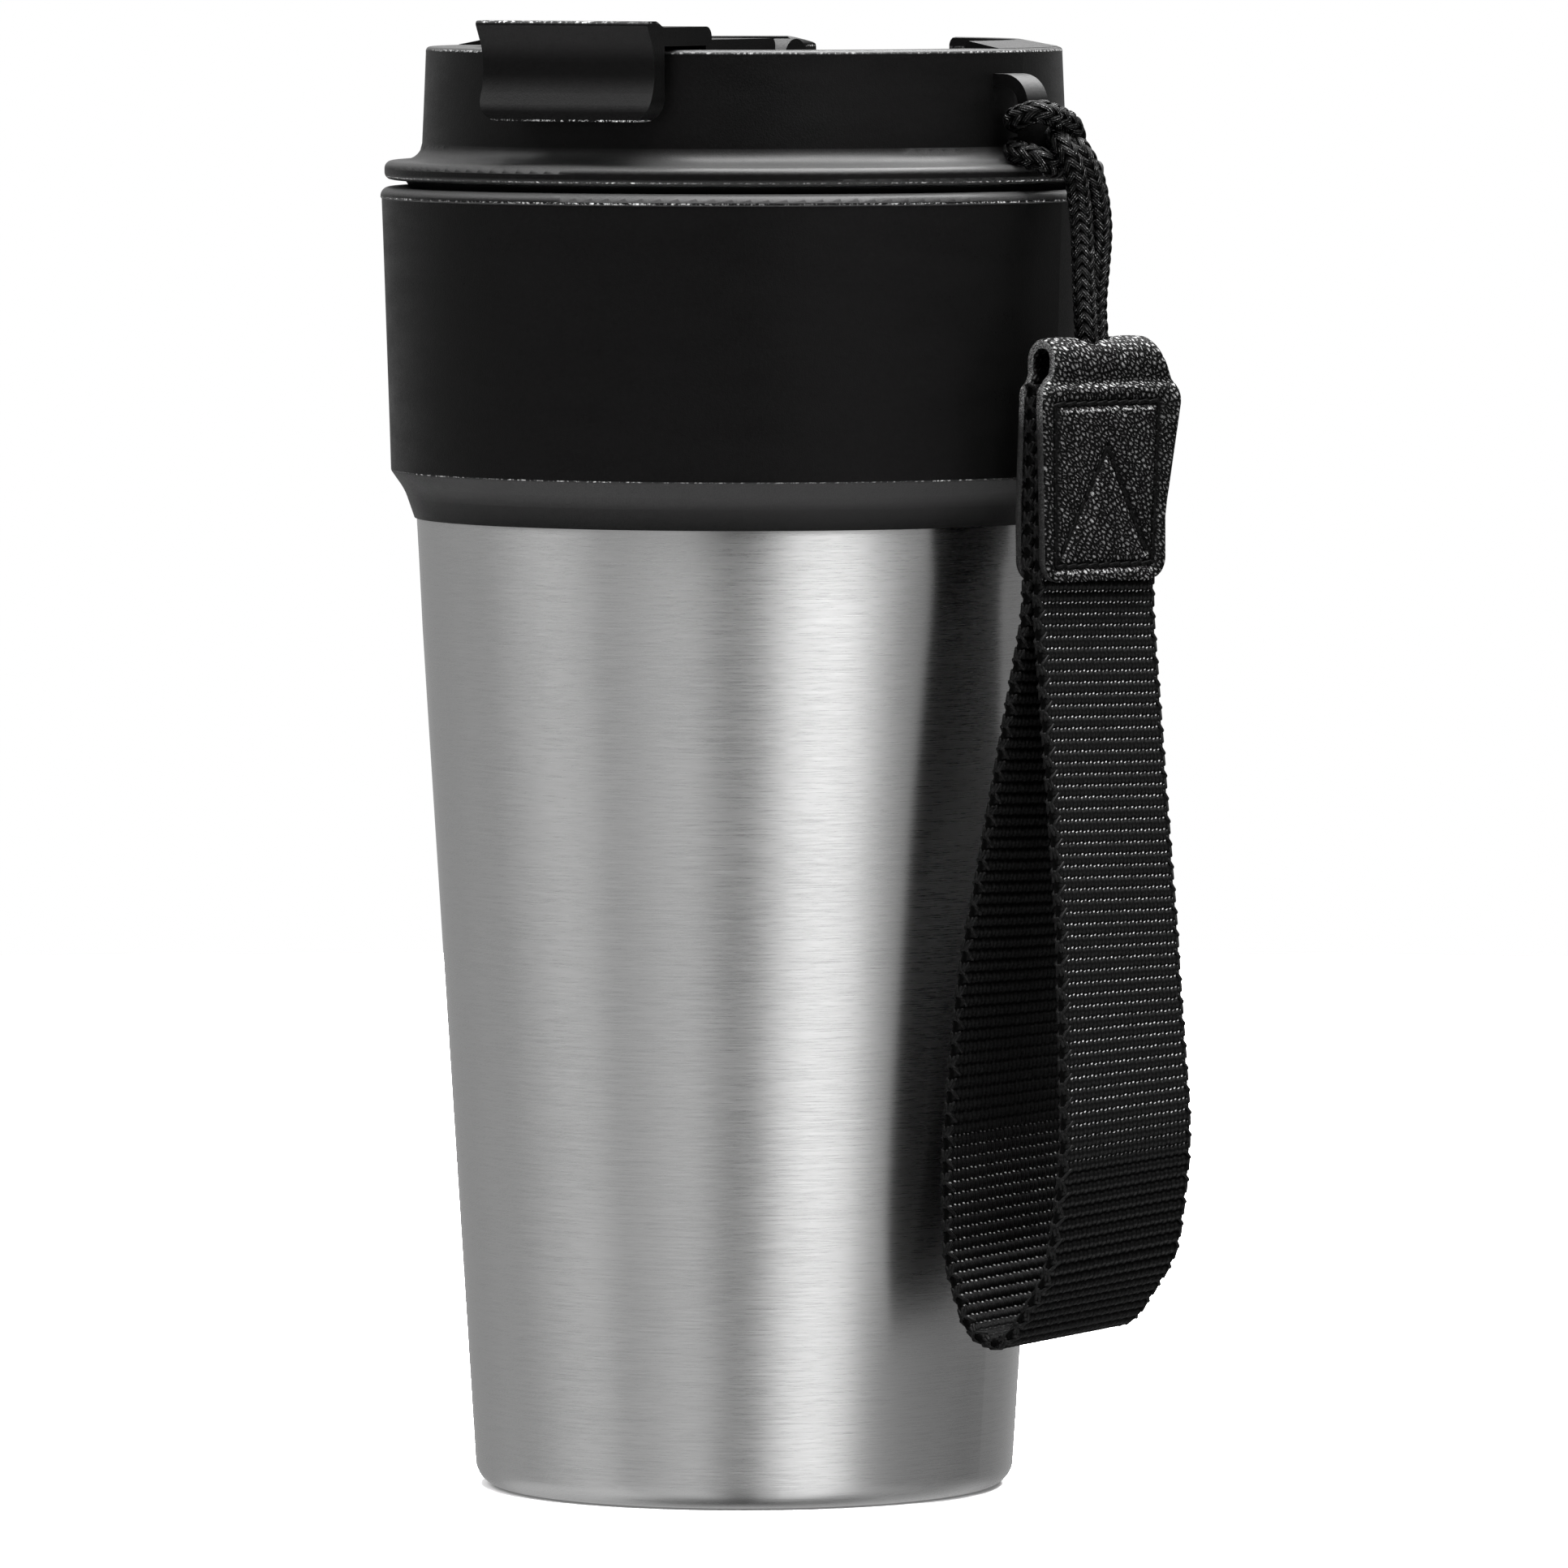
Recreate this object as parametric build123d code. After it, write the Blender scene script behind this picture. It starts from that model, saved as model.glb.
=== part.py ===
from build123d import *
import math
import os

# Insulated travel mug with a screw lid, a flip flap and a hanging strap.
# Millimetres. The origin is the centre of the base on the resting plane, +Z is up
# and -Y points to the drinking side, where the flap's finger tab hangs.

# ---- vessel ----
STEEL = 0.5               # sheet thickness of shell, liner and base
NECK_R = 40.3             # straight top of the shell, inside the collar
NECK_Z = 119.4            # where the collar ends and bare steel shows
SHOULDER_R = 39.6         # start of the shell's straight taper
SHOULDER_Z = 105.5
BASE_R = 33.0             # the taper carried down to the resting plane
FOOT_R = 28.0             # inner wall of the rolled foot ring
CAP_Z = 3.5               # recess of the base cap
CAP_DOME = 1.4            # height of the pump-out dimple
MOUTH_Z = 146.0           # top of the steel mouth
MOUTH_R = 38.3
LINER_TOP_R = 37.2        # inside of the liner under its neck
LINER_BASE_R = 30.0
LINER_FLOOR_Z = 8.0
LINER_NECK_Z = 139.0      # the liner swages out from here down to its shoulder
LINER_SHOULDER_Z = 133.0

# ---- collar ----
COLLAR_TOP_Z = 160.0
COLLAR_R = 44.7           # widest, just under the rounded top edge
COLLAR_LOW_R = 43.45      # where the straight side turns in to the steel
COLLAR_LOW_Z = 125.2
COLLAR_BORE_R = 42.3      # above the steel mouth
COLLAR_POCKET_R = 41.6    # relief behind the neck seal

# ---- lid ----
FLANGE_R = 44.2
FLANGE_Z = 160.9
RIM_R = 39.1
RIM_Z = 177.2
RIM_INNER_R = 33.5
DECK_Z = 172.6
PLASTIC = 1.8
SKIRT_R = 40.9
SKIRT_INNER_R = 38.9
SKIRT_Z = 148.0
CREST_RISE = 0.9          # the back half of the rim slopes up inwards by this much
CREST_START = 83.4        # degrees from the drinking side
NOTCH_HALF = 11.2         # finger notch in the back of the rim
NOTCH_Z = 174.9
THREAD_LEAD = 10.0
THREAD_DEPTH = 1.0
THREAD_WIDTH = 1.2
THREAD_TURNS = 0.7
THREAD_STARTS = 2
LID_THREAD_Z = 149.6
COLLAR_THREAD_Z = 151.7

# ---- flap ----
HINGE_Y = -8.5
HINGE_Z = 175.4
PIN_R = 1.0
FLAP_HALF = 12.0
KNUCKLE_HALF = 9.0
FLAP_UNDER_Z = 175.9
FLAP_LOW_Z = 168.6        # bottom of the finger tab
TAB_CORNER_R = 2.8
SIP_Y = -22.5
SIP_R = 4.2
SEAT_RISE = 0.6
VENT_Y = -15.2
VENT_R = 0.7

# ---- strap loop on the lid, cord and strap ----
LUG_AZ = 83.4             # degrees from the drinking side towards +X
LUG_WIDTH = 4.2
LUG_BAR = 1.5
LUG_R = 44.3              # outer face of the bar
LUG_TOP_Z = 174.2
CORD_D = 2.8
HITCH_Z = 163.3           # underside of the hitch
STRAP_AZ = 75.0           # the way the strap's broad face looks
FOLD_N = 50.0             # middle of the folded tab, out from the mug's axis
FOLD_U = 9.3              # and sideways from that line
TAB_TOP_Z = 142.4
TAB_BOTTOM_Z = 113.0
TAB_WIDTH = 21.6
LEATHER = 1.4
WEB_WIDTH = 20.0
WEB = 1.6
WEB_END_Z = 134.5
WEB_LEAN = -1.6           # degrees the loop leans sideways
SANDWICH = 2 * LEATHER + 2 * WEB + 0.2

# In these frames local +X runs out from the mug and +Y along its rim.
LUG_FRAME = Rot(0, 0, LUG_AZ - 90)
STRAP_FRAME = Rot(0, 0, STRAP_AZ - 90)

# Cord strands as (out, along, height) in the lug's frame, from the tab's fold up to the hitch.
LEFT_ROUTE = [
    (51.1, 0.5, 144.5), (50.4, 0.9, 149.0), (49.5, 1.6, 154.0), (48.6, 1.4, 158.0), (48.7, 0.6, 161.0),
]
RIGHT_ROUTE = [
    (50.5, 3.4, 144.5), (50.5, 4.0, 149.0), (50.1, 4.7, 154.0), (49.4, 4.6, 158.0), (48.9, 3.9, 161.0),
]


def turned(points, arc=360.0):
    """Solid turned about Z from a closed outline of (radius, height[, corner radius])."""
    corners = [(p[0], 0, p[1]) for p in points]
    radii = [p[2] if len(p) > 2 else 0 for p in points]
    outline = FilletPolyline(*corners, radius=radii, close=True)
    return revolve(make_face(outline), Axis.Z, revolution_arc=arc)


def disc(r, z_low, z_high, x=0.0, y=0.0):
    align = (Align.CENTER, Align.CENTER, Align.MIN)
    return Pos(x, y, z_low) * Cylinder(r, z_high - z_low, align=align)


def block(x, y, z):
    """Box between two limits on each axis."""
    size = (x[1] - x[0], y[1] - y[0], z[1] - z[0])
    return Pos(x[0], y[0], z[0]) * Box(*size, align=(Align.MIN, Align.MIN, Align.MIN))


def side_plate(points, half):
    """Plate with a (y, z[, corner radius]) outline, from -half to +half in X."""
    corners = [(-half, p[0], p[1]) for p in points]
    radii = [p[2] if len(p) > 2 else 0 for p in points]
    outline = FilletPolyline(*corners, radius=radii, close=True)
    return extrude(make_face(outline), amount=2 * half, dir=(1, 0, 0))


def cross_pin(r, half):
    """Cylinder along X on the hinge line."""
    return Pos(0, HINGE_Y, HINGE_Z) * Rot(0, 90, 0) * Cylinder(r, 2 * half)


def thread_ridges(root, crest, z_start):
    """Helical ridges of the coarse right-handed lid thread."""
    bite = 0.15 if crest < root else -0.15
    path = Helix(pitch=THREAD_LEAD, height=THREAD_LEAD * THREAD_TURNS, radius=root)
    plane = Plane(origin=path @ 0, x_dir=(1, 0, 0), z_dir=path % 0)
    root_half = THREAD_WIDTH * 0.7
    crest_half = THREAD_WIDTH * 0.3
    depth = crest - root
    corners = [(bite, -root_half), (depth, -crest_half), (depth, crest_half), (bite, root_half)]
    ridge = sweep(plane * make_face(Polyline(*corners, close=True)), path=path, is_frenet=True)
    return [Pos(0, 0, z_start) * Rot(0, 0, 360 / THREAD_STARTS * i) * ridge for i in range(THREAD_STARTS)]


# ---------------------------------------------------------------- vessel
def outer_shell():
    """Brushed steel wall that rolls under into a foot ring with a lip for the base cap."""
    lip_r = FOOT_R - 1.5
    return turned([
        (NECK_R, MOUTH_Z - STEEL), (NECK_R, NECK_Z, 12), (SHOULDER_R, SHOULDER_Z, 60),
        (BASE_R, 0, 3.0), (FOOT_R, 0, 0.7), (FOOT_R, CAP_Z - STEEL, 0.2),
        (lip_r, CAP_Z - STEEL), (lip_r, CAP_Z), (FOOT_R + STEEL, CAP_Z, 0.6),
        (FOOT_R + STEEL, STEEL, 0.2), (BASE_R - STEEL, STEEL, 2.5),
        (SHOULDER_R - STEEL, SHOULDER_Z, 60), (NECK_R - STEEL, NECK_Z, 12),
        (NECK_R - STEEL, MOUTH_Z - STEEL),
    ])


def inner_liner():
    """Inner cup whose rolled rim sits on the shell's top edge."""
    outer_mouth = MOUTH_R + STEEL
    return turned([
        (MOUTH_R, MOUTH_Z, 0.3), (NECK_R, MOUTH_Z, 0.3), (NECK_R, MOUTH_Z - STEEL),
        (outer_mouth, MOUTH_Z - STEEL, 0.3), (outer_mouth, LINER_NECK_Z, 3),
        (LINER_TOP_R + STEEL, LINER_SHOULDER_Z, 6),
        (LINER_BASE_R + STEEL, LINER_FLOOR_Z - STEEL, 7.5), (0, LINER_FLOOR_Z - STEEL),
        (0, LINER_FLOOR_Z), (LINER_BASE_R, LINER_FLOOR_Z, 7), (LINER_TOP_R, LINER_SHOULDER_Z, 6),
        (MOUTH_R, LINER_NECK_Z, 3),
    ])


def base_cap():
    """Pressed disc brazed on the shell's inner lip, with a domed pump-out dimple."""
    hole_r, dome_r, dome_foot_r = 1.2, 5.5, 7.0
    return turned([
        (hole_r, CAP_Z + CAP_DOME), (dome_r, CAP_Z + CAP_DOME), (dome_foot_r, CAP_Z),
        (FOOT_R, CAP_Z), (FOOT_R, CAP_Z + STEEL), (dome_foot_r, CAP_Z + STEEL),
        (dome_r, CAP_Z + CAP_DOME + STEEL), (hole_r, CAP_Z + CAP_DOME + STEEL),
    ])


def vacuum_plug():
    """Drop of glass solder that closes the pump-out hole from below."""
    top = CAP_Z + CAP_DOME
    return turned([(0, top), (3.2, top), (2.6, top - 0.6), (1.4, top - 0.9), (0, top - 1.0)])


def getter():
    """Gas-absorbing pill fixed under the liner, inside the vacuum."""
    return disc(4.0, LINER_FLOOR_Z - STEEL - 1.0, LINER_FLOOR_Z - STEEL, x=12.0)


def collar():
    """Plastic collar: threaded above the steel mouth, gripping the shell below it."""
    body = turned([
        (COLLAR_BORE_R + 0.4, COLLAR_TOP_Z), (COLLAR_R - 0.05, COLLAR_TOP_Z, 1.1),
        (COLLAR_R, COLLAR_TOP_Z - 1.25), (COLLAR_R - 0.15, COLLAR_TOP_Z - 1.45),
        (COLLAR_LOW_R, COLLAR_LOW_Z, 0.6), (41.75, 122.75, 6), (40.6, NECK_Z),
        (NECK_R, NECK_Z), (NECK_R, 124.0), (COLLAR_POCKET_R, 125.0), (COLLAR_POCKET_R, 137.0),
        (NECK_R, 138.0), (NECK_R, MOUTH_Z), (COLLAR_BORE_R, MOUTH_Z),
        (COLLAR_BORE_R, COLLAR_TOP_Z - 0.5),
    ])
    for ridge in thread_ridges(COLLAR_BORE_R, COLLAR_BORE_R - THREAD_DEPTH, COLLAR_THREAD_Z):
        body += ridge
    return body


def neck_seal():
    """Silicone ring between collar and shell."""
    return turned([
        (NECK_R, 128.0), (COLLAR_POCKET_R, 128.6), (COLLAR_POCKET_R, 130.4), (NECK_R, 131.0),
    ])


# ---------------------------------------------------------------- lid
def lid_seal():
    """Silicone washer with a sealing lip over the steel mouth."""
    return turned([
        (MOUTH_R + 0.3, SKIRT_Z - 0.1), (MOUTH_R + 0.2, MOUTH_Z + 0.25, 0.2),
        (MOUTH_R + 1.0, MOUTH_Z + 0.15, 0.2), (MOUTH_R + 1.3, MOUTH_Z + 0.8),
        (NECK_R, MOUTH_Z + 0.4, 0.1), (NECK_R, SKIRT_Z - 0.1),
    ])


def lid_wall():
    """Turned body: threaded skirt, flange, wall, rim and recessed deck."""
    deck_under = DECK_Z - PLASTIC
    wall_inner = RIM_R - PLASTIC
    return turned([
        (0, deck_under), (35.2, deck_under), (35.2, RIM_Z - PLASTIC, 0.8),
        (wall_inner, RIM_Z - PLASTIC, 0.8), (wall_inner + 0.3, 162.0), (SKIRT_INNER_R, 159.6),
        (SKIRT_INNER_R, SKIRT_Z), (SKIRT_R, SKIRT_Z), (SKIRT_R, 159.6), (41.7, FLANGE_Z),
        (FLANGE_R, FLANGE_Z, 0.9), (FLANGE_R, 163.15, 0.95), (39.65, 163.5, 2.1),
        (RIM_R, 176.4), (RIM_R, RIM_Z, 0.55), (RIM_INNER_R, RIM_Z, 0.4),
        (RIM_INNER_R, DECK_Z, 0.8), (0, DECK_Z),
    ])


def rim_crest():
    """Back half of the rim, which slopes up towards the middle."""
    crest = turned([
        (RIM_INNER_R, RIM_Z - 0.4), (RIM_R - 0.6, RIM_Z - 0.4), (RIM_R - 0.6, RIM_Z + 0.05),
        (RIM_INNER_R + 0.5, RIM_Z + CREST_RISE, 0.2), (RIM_INNER_R, RIM_Z + CREST_RISE - 0.1),
    ], arc=360 - 2 * CREST_START)
    return Rot(0, 0, CREST_START - 90) * crest


def back_notch():
    """Shape of the notch cut through the back of the rim, with rounded shoulders and corners."""
    top = RIM_Z + CREST_RISE + 0.05
    corners = [(x, 0, z) for x, z in (
        (-20, top), (-NOTCH_HALF, top), (-NOTCH_HALF, NOTCH_Z), (NOTCH_HALF, NOTCH_Z), (NOTCH_HALF, top),
        (20, top), (20, 185), (-20, 185),
    )]
    outline = FilletPolyline(*corners, radius=[0, 1.2, 1.6, 1.6, 1.2, 0, 0, 0], close=True)
    return extrude(Pos(0, 30, 0) * make_face(outline), amount=14, dir=(0, 1, 0))


def back_fill():
    """Solid stretch of the hollow rim that the notch is cut in."""
    ring = disc(RIM_R - 1, 168.0, RIM_Z - 1) - disc(RIM_INNER_R + 1, 167.0, RIM_Z)
    return ring & block((-NOTCH_HALF - 2, NOTCH_HALF + 2), (25, 45), (167.0, RIM_Z))


def hinge_posts():
    """Two lugs on the deck that hold the flap's pin."""
    cheek = side_plate([
        (HINGE_Y - 2.9, DECK_Z - 0.4), (HINGE_Y + 2.9, DECK_Z - 0.4),
        (HINGE_Y + 2.9, HINGE_Z + 2.9, 2.8), (HINGE_Y - 2.9, HINGE_Z + 2.9, 2.8),
    ], FLAP_HALF + 0.2)
    gap = block((-KNUCKLE_HALF - 0.4, KNUCKLE_HALF + 0.4), (HINGE_Y - 4, HINGE_Y + 4), (DECK_Z - 1, RIM_Z + 4))
    return cheek - gap


def spout_ramp():
    """Ramp that carries the drink from the sip hole up to the rim."""
    return side_plate([(-29.4, DECK_Z - 0.3), (-34.4, DECK_Z - 0.3), (-34.4, RIM_Z - 0.2)], 9.0)


def strap_lug():
    """D-shaped loop on the wall that the cord hangs from, in the lug's frame."""
    half = LUG_WIDTH / 2
    outer = [(38.0, LUG_TOP_Z), (LUG_R, LUG_TOP_Z, 3.6), (LUG_R, 162.6), (38.0, 162.6)]
    inner = [(39.3, LUG_TOP_Z - LUG_BAR), (LUG_R - LUG_BAR, LUG_TOP_Z - LUG_BAR, 2.1),
             (LUG_R - LUG_BAR, 162.0), (39.3, 162.0)]
    solids = []
    for outline in (outer, inner):
        corners = [(p[0], -half, p[1]) for p in outline]
        radii = [p[2] if len(p) > 2 else 0 for p in outline]
        face = make_face(FilletPolyline(*corners, radius=radii, close=True))
        solids.append(extrude(face, amount=LUG_WIDTH, dir=(0, 1, 0)))
    loop = solids[0] - solids[1] - disc(RIM_R - 0.6, 150, 180)
    return LUG_FRAME * loop


def lid_body():
    deck_under = DECK_Z - PLASTIC
    body = lid_wall() + rim_crest() + hinge_posts() + spout_ramp() + strap_lug()
    body = body + back_fill() - back_notch()
    body += disc(SIP_R + 1.8, DECK_Z - 0.2, DECK_Z + SEAT_RISE, y=SIP_Y)
    body -= disc(SIP_R, deck_under - 1, DECK_Z + 2, y=SIP_Y)
    body -= disc(VENT_R, deck_under - 1, DECK_Z + 2, y=VENT_Y)
    body -= cross_pin(PIN_R, FLAP_HALF)
    for ridge in thread_ridges(SKIRT_R, SKIRT_R + THREAD_DEPTH, LID_THREAD_Z):
        body += ridge
    return body


def lid_inner():
    """Inner plate welded in the skirt, with tubes for the drink and the air."""
    floor_z, floor_top = 150.0, 151.6
    deck_under = DECK_Z - PLASTIC
    plate = disc(SKIRT_INNER_R, floor_z, floor_top)
    plate += disc(SIP_R + 1.2, floor_z, deck_under, y=SIP_Y)
    plate += disc(VENT_R + 1.1, floor_z, deck_under, y=VENT_Y)
    plate -= disc(SIP_R, floor_z - 1, deck_under + 1, y=SIP_Y)
    plate -= disc(VENT_R, floor_z - 1, deck_under + 1, y=VENT_Y)
    return plate


def hinge_pin():
    return cross_pin(PIN_R, FLAP_HALF)


# ---------------------------------------------------------------- flap
def flap_outline():
    """Outline of the lever seen from the drinking side, with rounded lower corners, cut through in Y."""
    corners = [(x, 0, z) for x, z in (
        (-FLAP_HALF, FLAP_LOW_Z), (FLAP_HALF, FLAP_LOW_Z), (FLAP_HALF, 185), (-FLAP_HALF, 185),
    )]
    outline = FilletPolyline(*corners, radius=[TAB_CORNER_R, TAB_CORNER_R, 0, 0], close=True)
    return extrude(make_face(outline), amount=60, dir=(0, -1, 0))


def flap():
    """Lever: a knuckle on the pin, a low plate over the stoppers, a raised plate and a finger tab."""
    lever = side_plate([
        (-13.2, FLAP_UNDER_Z), (-28.6, FLAP_UNDER_Z), (-28.6, 175.0), (-30.0, 175.0),
        (-30.0, RIM_Z + 0.5), (-39.9, RIM_Z + 0.5), (-39.9, FLAP_LOW_Z - 1), (-43.3, FLAP_LOW_Z - 1),
        (-43.5, 170.0, 3), (-42.2, 173.6, 8), (-42.4, 177.0, 6), (-44.3, 180.7, 0.4),
        (-41.8, 180.75, 1.5), (-40.2, 180.0, 1.5), (-28.6, 180.0, 1.3), (-28.6, 178.4), (-13.2, 178.4, 0.8),
    ], FLAP_HALF + 1) & flap_outline()
    arm = side_plate([
        (HINGE_Y, HINGE_Z - 1.4), (-14.0, FLAP_UNDER_Z), (-14.0, 178.0), (HINGE_Y, HINGE_Z + 2.4),
    ], KNUCKLE_HALF)
    lever = lever + arm + cross_pin(2.4, KNUCKLE_HALF)
    lever -= cross_pin(PIN_R + 0.06, FLAP_HALF)
    lever -= disc(1.5, FLAP_UNDER_Z - 1, 177.2, y=SIP_Y)
    lever -= disc(0.8, FLAP_UNDER_Z - 1, 177.2, y=VENT_Y)
    return lever


def sip_plug():
    """Silicone stopper that seals on the raised seat round the sip hole."""
    seat = DECK_Z + SEAT_RISE + 0.1
    body = Pos(0, SIP_Y, 0) * turned([
        (0, seat), (SIP_R + 1.4, seat, 0.4), (SIP_R + 1.4, seat + 1.0, 0.3),
        (SIP_R + 0.6, FLAP_UNDER_Z), (0, FLAP_UNDER_Z),
    ])
    return body + disc(1.5, FLAP_UNDER_Z - 0.2, 177.2, y=SIP_Y)


def vent_plug():
    body = Pos(0, VENT_Y, 0) * turned([
        (0, DECK_Z + 0.15), (1.3, DECK_Z + 0.15, 0.3), (1.2, FLAP_UNDER_Z), (0, FLAP_UNDER_Z),
    ])
    return body + disc(0.8, FLAP_UNDER_Z - 0.2, 177.2, y=VENT_Y)


# ---------------------------------------------------------------- cord
def arc_radii(route):
    """Radius of each corner's arc, from its shorter run and its turn."""
    points = [Vector(*p) for p in route]
    radii = []
    for before, at, after in zip(points, points[1:], points[2:]):
        turn = math.radians((at - before).get_angle(after - at))
        shorter = min((at - before).length, (after - at).length)
        radii.append(0.45 * shorter / math.tan(turn / 2))
    return radii


def cord_strand(name, route):
    radii = arc_radii(route)
    path = FilletPolyline(*route, radius=radii)
    section = Plane(origin=path @ 0, z_dir=path % 0) * Circle(CORD_D / 2)
    tube = sweep(section, path=path)
    ideal = math.pi * (CORD_D / 2) ** 2 * path.length
    print(name, "radii", [round(r, 1) for r in radii], "length", round(path.length, 1),
          "volume ratio", round(tube.volume / ideal, 3))
    return LUG_FRAME * tube


def cord_hitch():
    """Outer shape of the cow hitch round the lug's bar and the bight in front of it."""
    half = LUG_WIDTH / 2 + CORD_D
    back = LUG_R - LUG_BAR - CORD_D
    wraps = block((back, LUG_R + CORD_D), (-half, half), (HITCH_Z, 170.8))
    wraps = fillet(wraps.edges().filter_by(Axis.Z), 1.4)
    bight = block((LUG_R, LUG_R + 2 * CORD_D), (-2.4, 6.0), (HITCH_Z, 169.4))
    bight = fillet(bight.edges(), 1.2)
    play = 0.05
    bar_side = LUG_WIDTH / 2 + play
    bar = block((LUG_R - LUG_BAR - play, LUG_R + play), (-bar_side, bar_side), (160, 172))
    flange_root = turned([(38, HITCH_Z - 1), (42.6, HITCH_Z - 1), (42.6, HITCH_Z), (39.9, 166.0), (38, 166.0)])
    return LUG_FRAME * (wraps + bight - bar - flange_root)


# ---------------------------------------------------------------- strap
def cord_end_whipping():
    """Bound ends of the cord, sewn into the tunnel of the folded tab."""
    inside = SANDWICH / 2 - LEATHER
    body = block((FOLD_N - inside, FOLD_N + inside), (FOLD_U - 3.4, FOLD_U + 3.4), (135.2, 139.0))
    return STRAP_FRAME * fillet(body.edges().filter_by(Axis.Z), 0.8)


def folded(half, z_low):
    """Strip of twice this half thickness, standing on z_low with a round fold on top."""
    reach = 13.0
    bend_z = TAB_TOP_Z - SANDWICH / 2
    strip = block((FOLD_N - half, FOLD_N + half), (FOLD_U - reach, FOLD_U + reach), (z_low, bend_z))
    return strip + Pos(FOLD_N, FOLD_U, bend_z) * Rot(90, 0, 0) * Cylinder(half, 2 * reach)


def leather_tab():
    """Leather strip folded over the top, open at both ends of its tunnel."""
    tab = folded(SANDWICH / 2, TAB_BOTTOM_Z) - folded(SANDWICH / 2 - LEATHER, TAB_BOTTOM_Z - 1)
    cord_slot = extrude(SlotOverall(7.2, 3.4), amount=4, both=True)
    tab -= Pos(FOLD_N, FOLD_U, TAB_TOP_Z) * Rot(0, 0, 60) * cord_slot
    half, neck, shoulder, top = TAB_WIDTH / 2, 9.4, 11.8, TAB_TOP_Z + 1
    outline = [
        (-neck, top, 0), (-neck, 137.4, 2), (-half, 134.8, 1), (-half, TAB_BOTTOM_Z, 2.5),
        (half, TAB_BOTTOM_Z, 2.5), (half, 121.0, 6), (shoulder, 134.6, 1), (neck + 0.3, top, 0),
    ]
    corners = [(0, FOLD_U + p[0], p[1]) for p in outline]
    cutter = make_face(FilletPolyline(*corners, radius=[p[2] for p in outline], close=True))
    return STRAP_FRAME * (tab & extrude(cutter, amount=80, dir=(1, 0, 0)))


def webbing_loop():
    """Ribbed webbing loop whose two ends lie face to face inside the tab."""
    route = [
        (FOLD_N - 0.9, WEB_END_Z), (FOLD_N - 0.9, 109.0, 25), (39.4, 64.0, 90), (38.3, 44.0, 50),
        (39.2, 31.0, 12), (43.0, 22.6, 5), (48.6, 20.7, 4.5), (56.2, 30.2, 10), (58.4, 44.0, 50),
        (55.8, 72.0, 120), (FOLD_N + 0.9, 109.5, 40), (FOLD_N + 0.9, WEB_END_Z),
    ]
    corners = [(p[0], FOLD_U, p[1]) for p in route]
    path = FilletPolyline(*corners, radius=[p[2] for p in route[1:-1]])
    section = Plane(origin=path @ 0, x_dir=(1, 0, 0), z_dir=path % 0) * Rectangle(WEB, WEB_WIDTH)
    band = sweep(section, path=path, transition=Transition.ROUND)
    lean = Pos(0, FOLD_U, 124) * Rot(WEB_LEAN, 0, 0) * Pos(0, -FOLD_U, -124)
    return STRAP_FRAME * lean * band


def stitch_run(start, end, face_n):
    """Row of thread stitches between two (along, height) points on one face of the tab."""
    length, width, gap, proud = 1.7, 0.5, 0.8, 0.25
    run = Vector(end[0] - start[0], end[1] - start[1], 0)
    count = int((run.length + gap) // (length + gap))
    angle = math.degrees(math.atan2(run.Y, run.X))
    stitches = []
    for i in range(count):
        middle = (i + 0.5) / count
        place = Pos(face_n, start[0] + run.X * middle, start[1] + run.Y * middle)
        stitches.append(place * Rot(angle, 0, 0) * Box(proud, length, width))
    return stitches


def tab_stitching():
    """Box-and-triangle seam through the tab, seen on both faces."""
    left, right, low, high = FOLD_U - 9.0, FOLD_U + 9.0, 115.2, 134.2
    apex = (FOLD_U, 129.0)
    feet = [(left + 1.4, 116.6), (right - 1.4, 116.6)]
    runs = [
        ((left, low), (left, high)), ((left, high), (right, high)), ((right, high), (right, low)),
        ((right, low), (left, low)), (feet[0], apex), (apex, feet[1]),
    ]
    face = SANDWICH / 2 + 0.125
    stitches = []
    for side in (-face, face):
        for start, end in runs:
            stitches += stitch_run(start, end, FOLD_N + side)
    return STRAP_FRAME * Compound(children=stitches)


def main():
    os.makedirs("parts", exist_ok=True)
    nodes = {
        "outer_shell": outer_shell(), "inner_liner": inner_liner(), "base_cap": base_cap(),
        "vacuum_plug": vacuum_plug(), "getter": getter(), "collar": collar(), "neck_seal": neck_seal(),
        "lid_seal": lid_seal(), "lid_body": lid_body(), "lid_inner": lid_inner(), "hinge_pin": hinge_pin(),
        "flap": flap(), "sip_plug": sip_plug(), "vent_plug": vent_plug(), "cord_hitch": cord_hitch(),
        "cord_left_strand": cord_strand("left strand", LEFT_ROUTE),
        "cord_right_strand": cord_strand("right strand", RIGHT_ROUTE),
        "cord_end_whipping": cord_end_whipping(), "leather_tab": leather_tab(),
        "webbing_loop": webbing_loop(), "tab_stitching": tab_stitching(),
    }
    for name, solid in nodes.items():
        export_step(solid, f"parts/{name}.step")


main()
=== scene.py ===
import math

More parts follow.
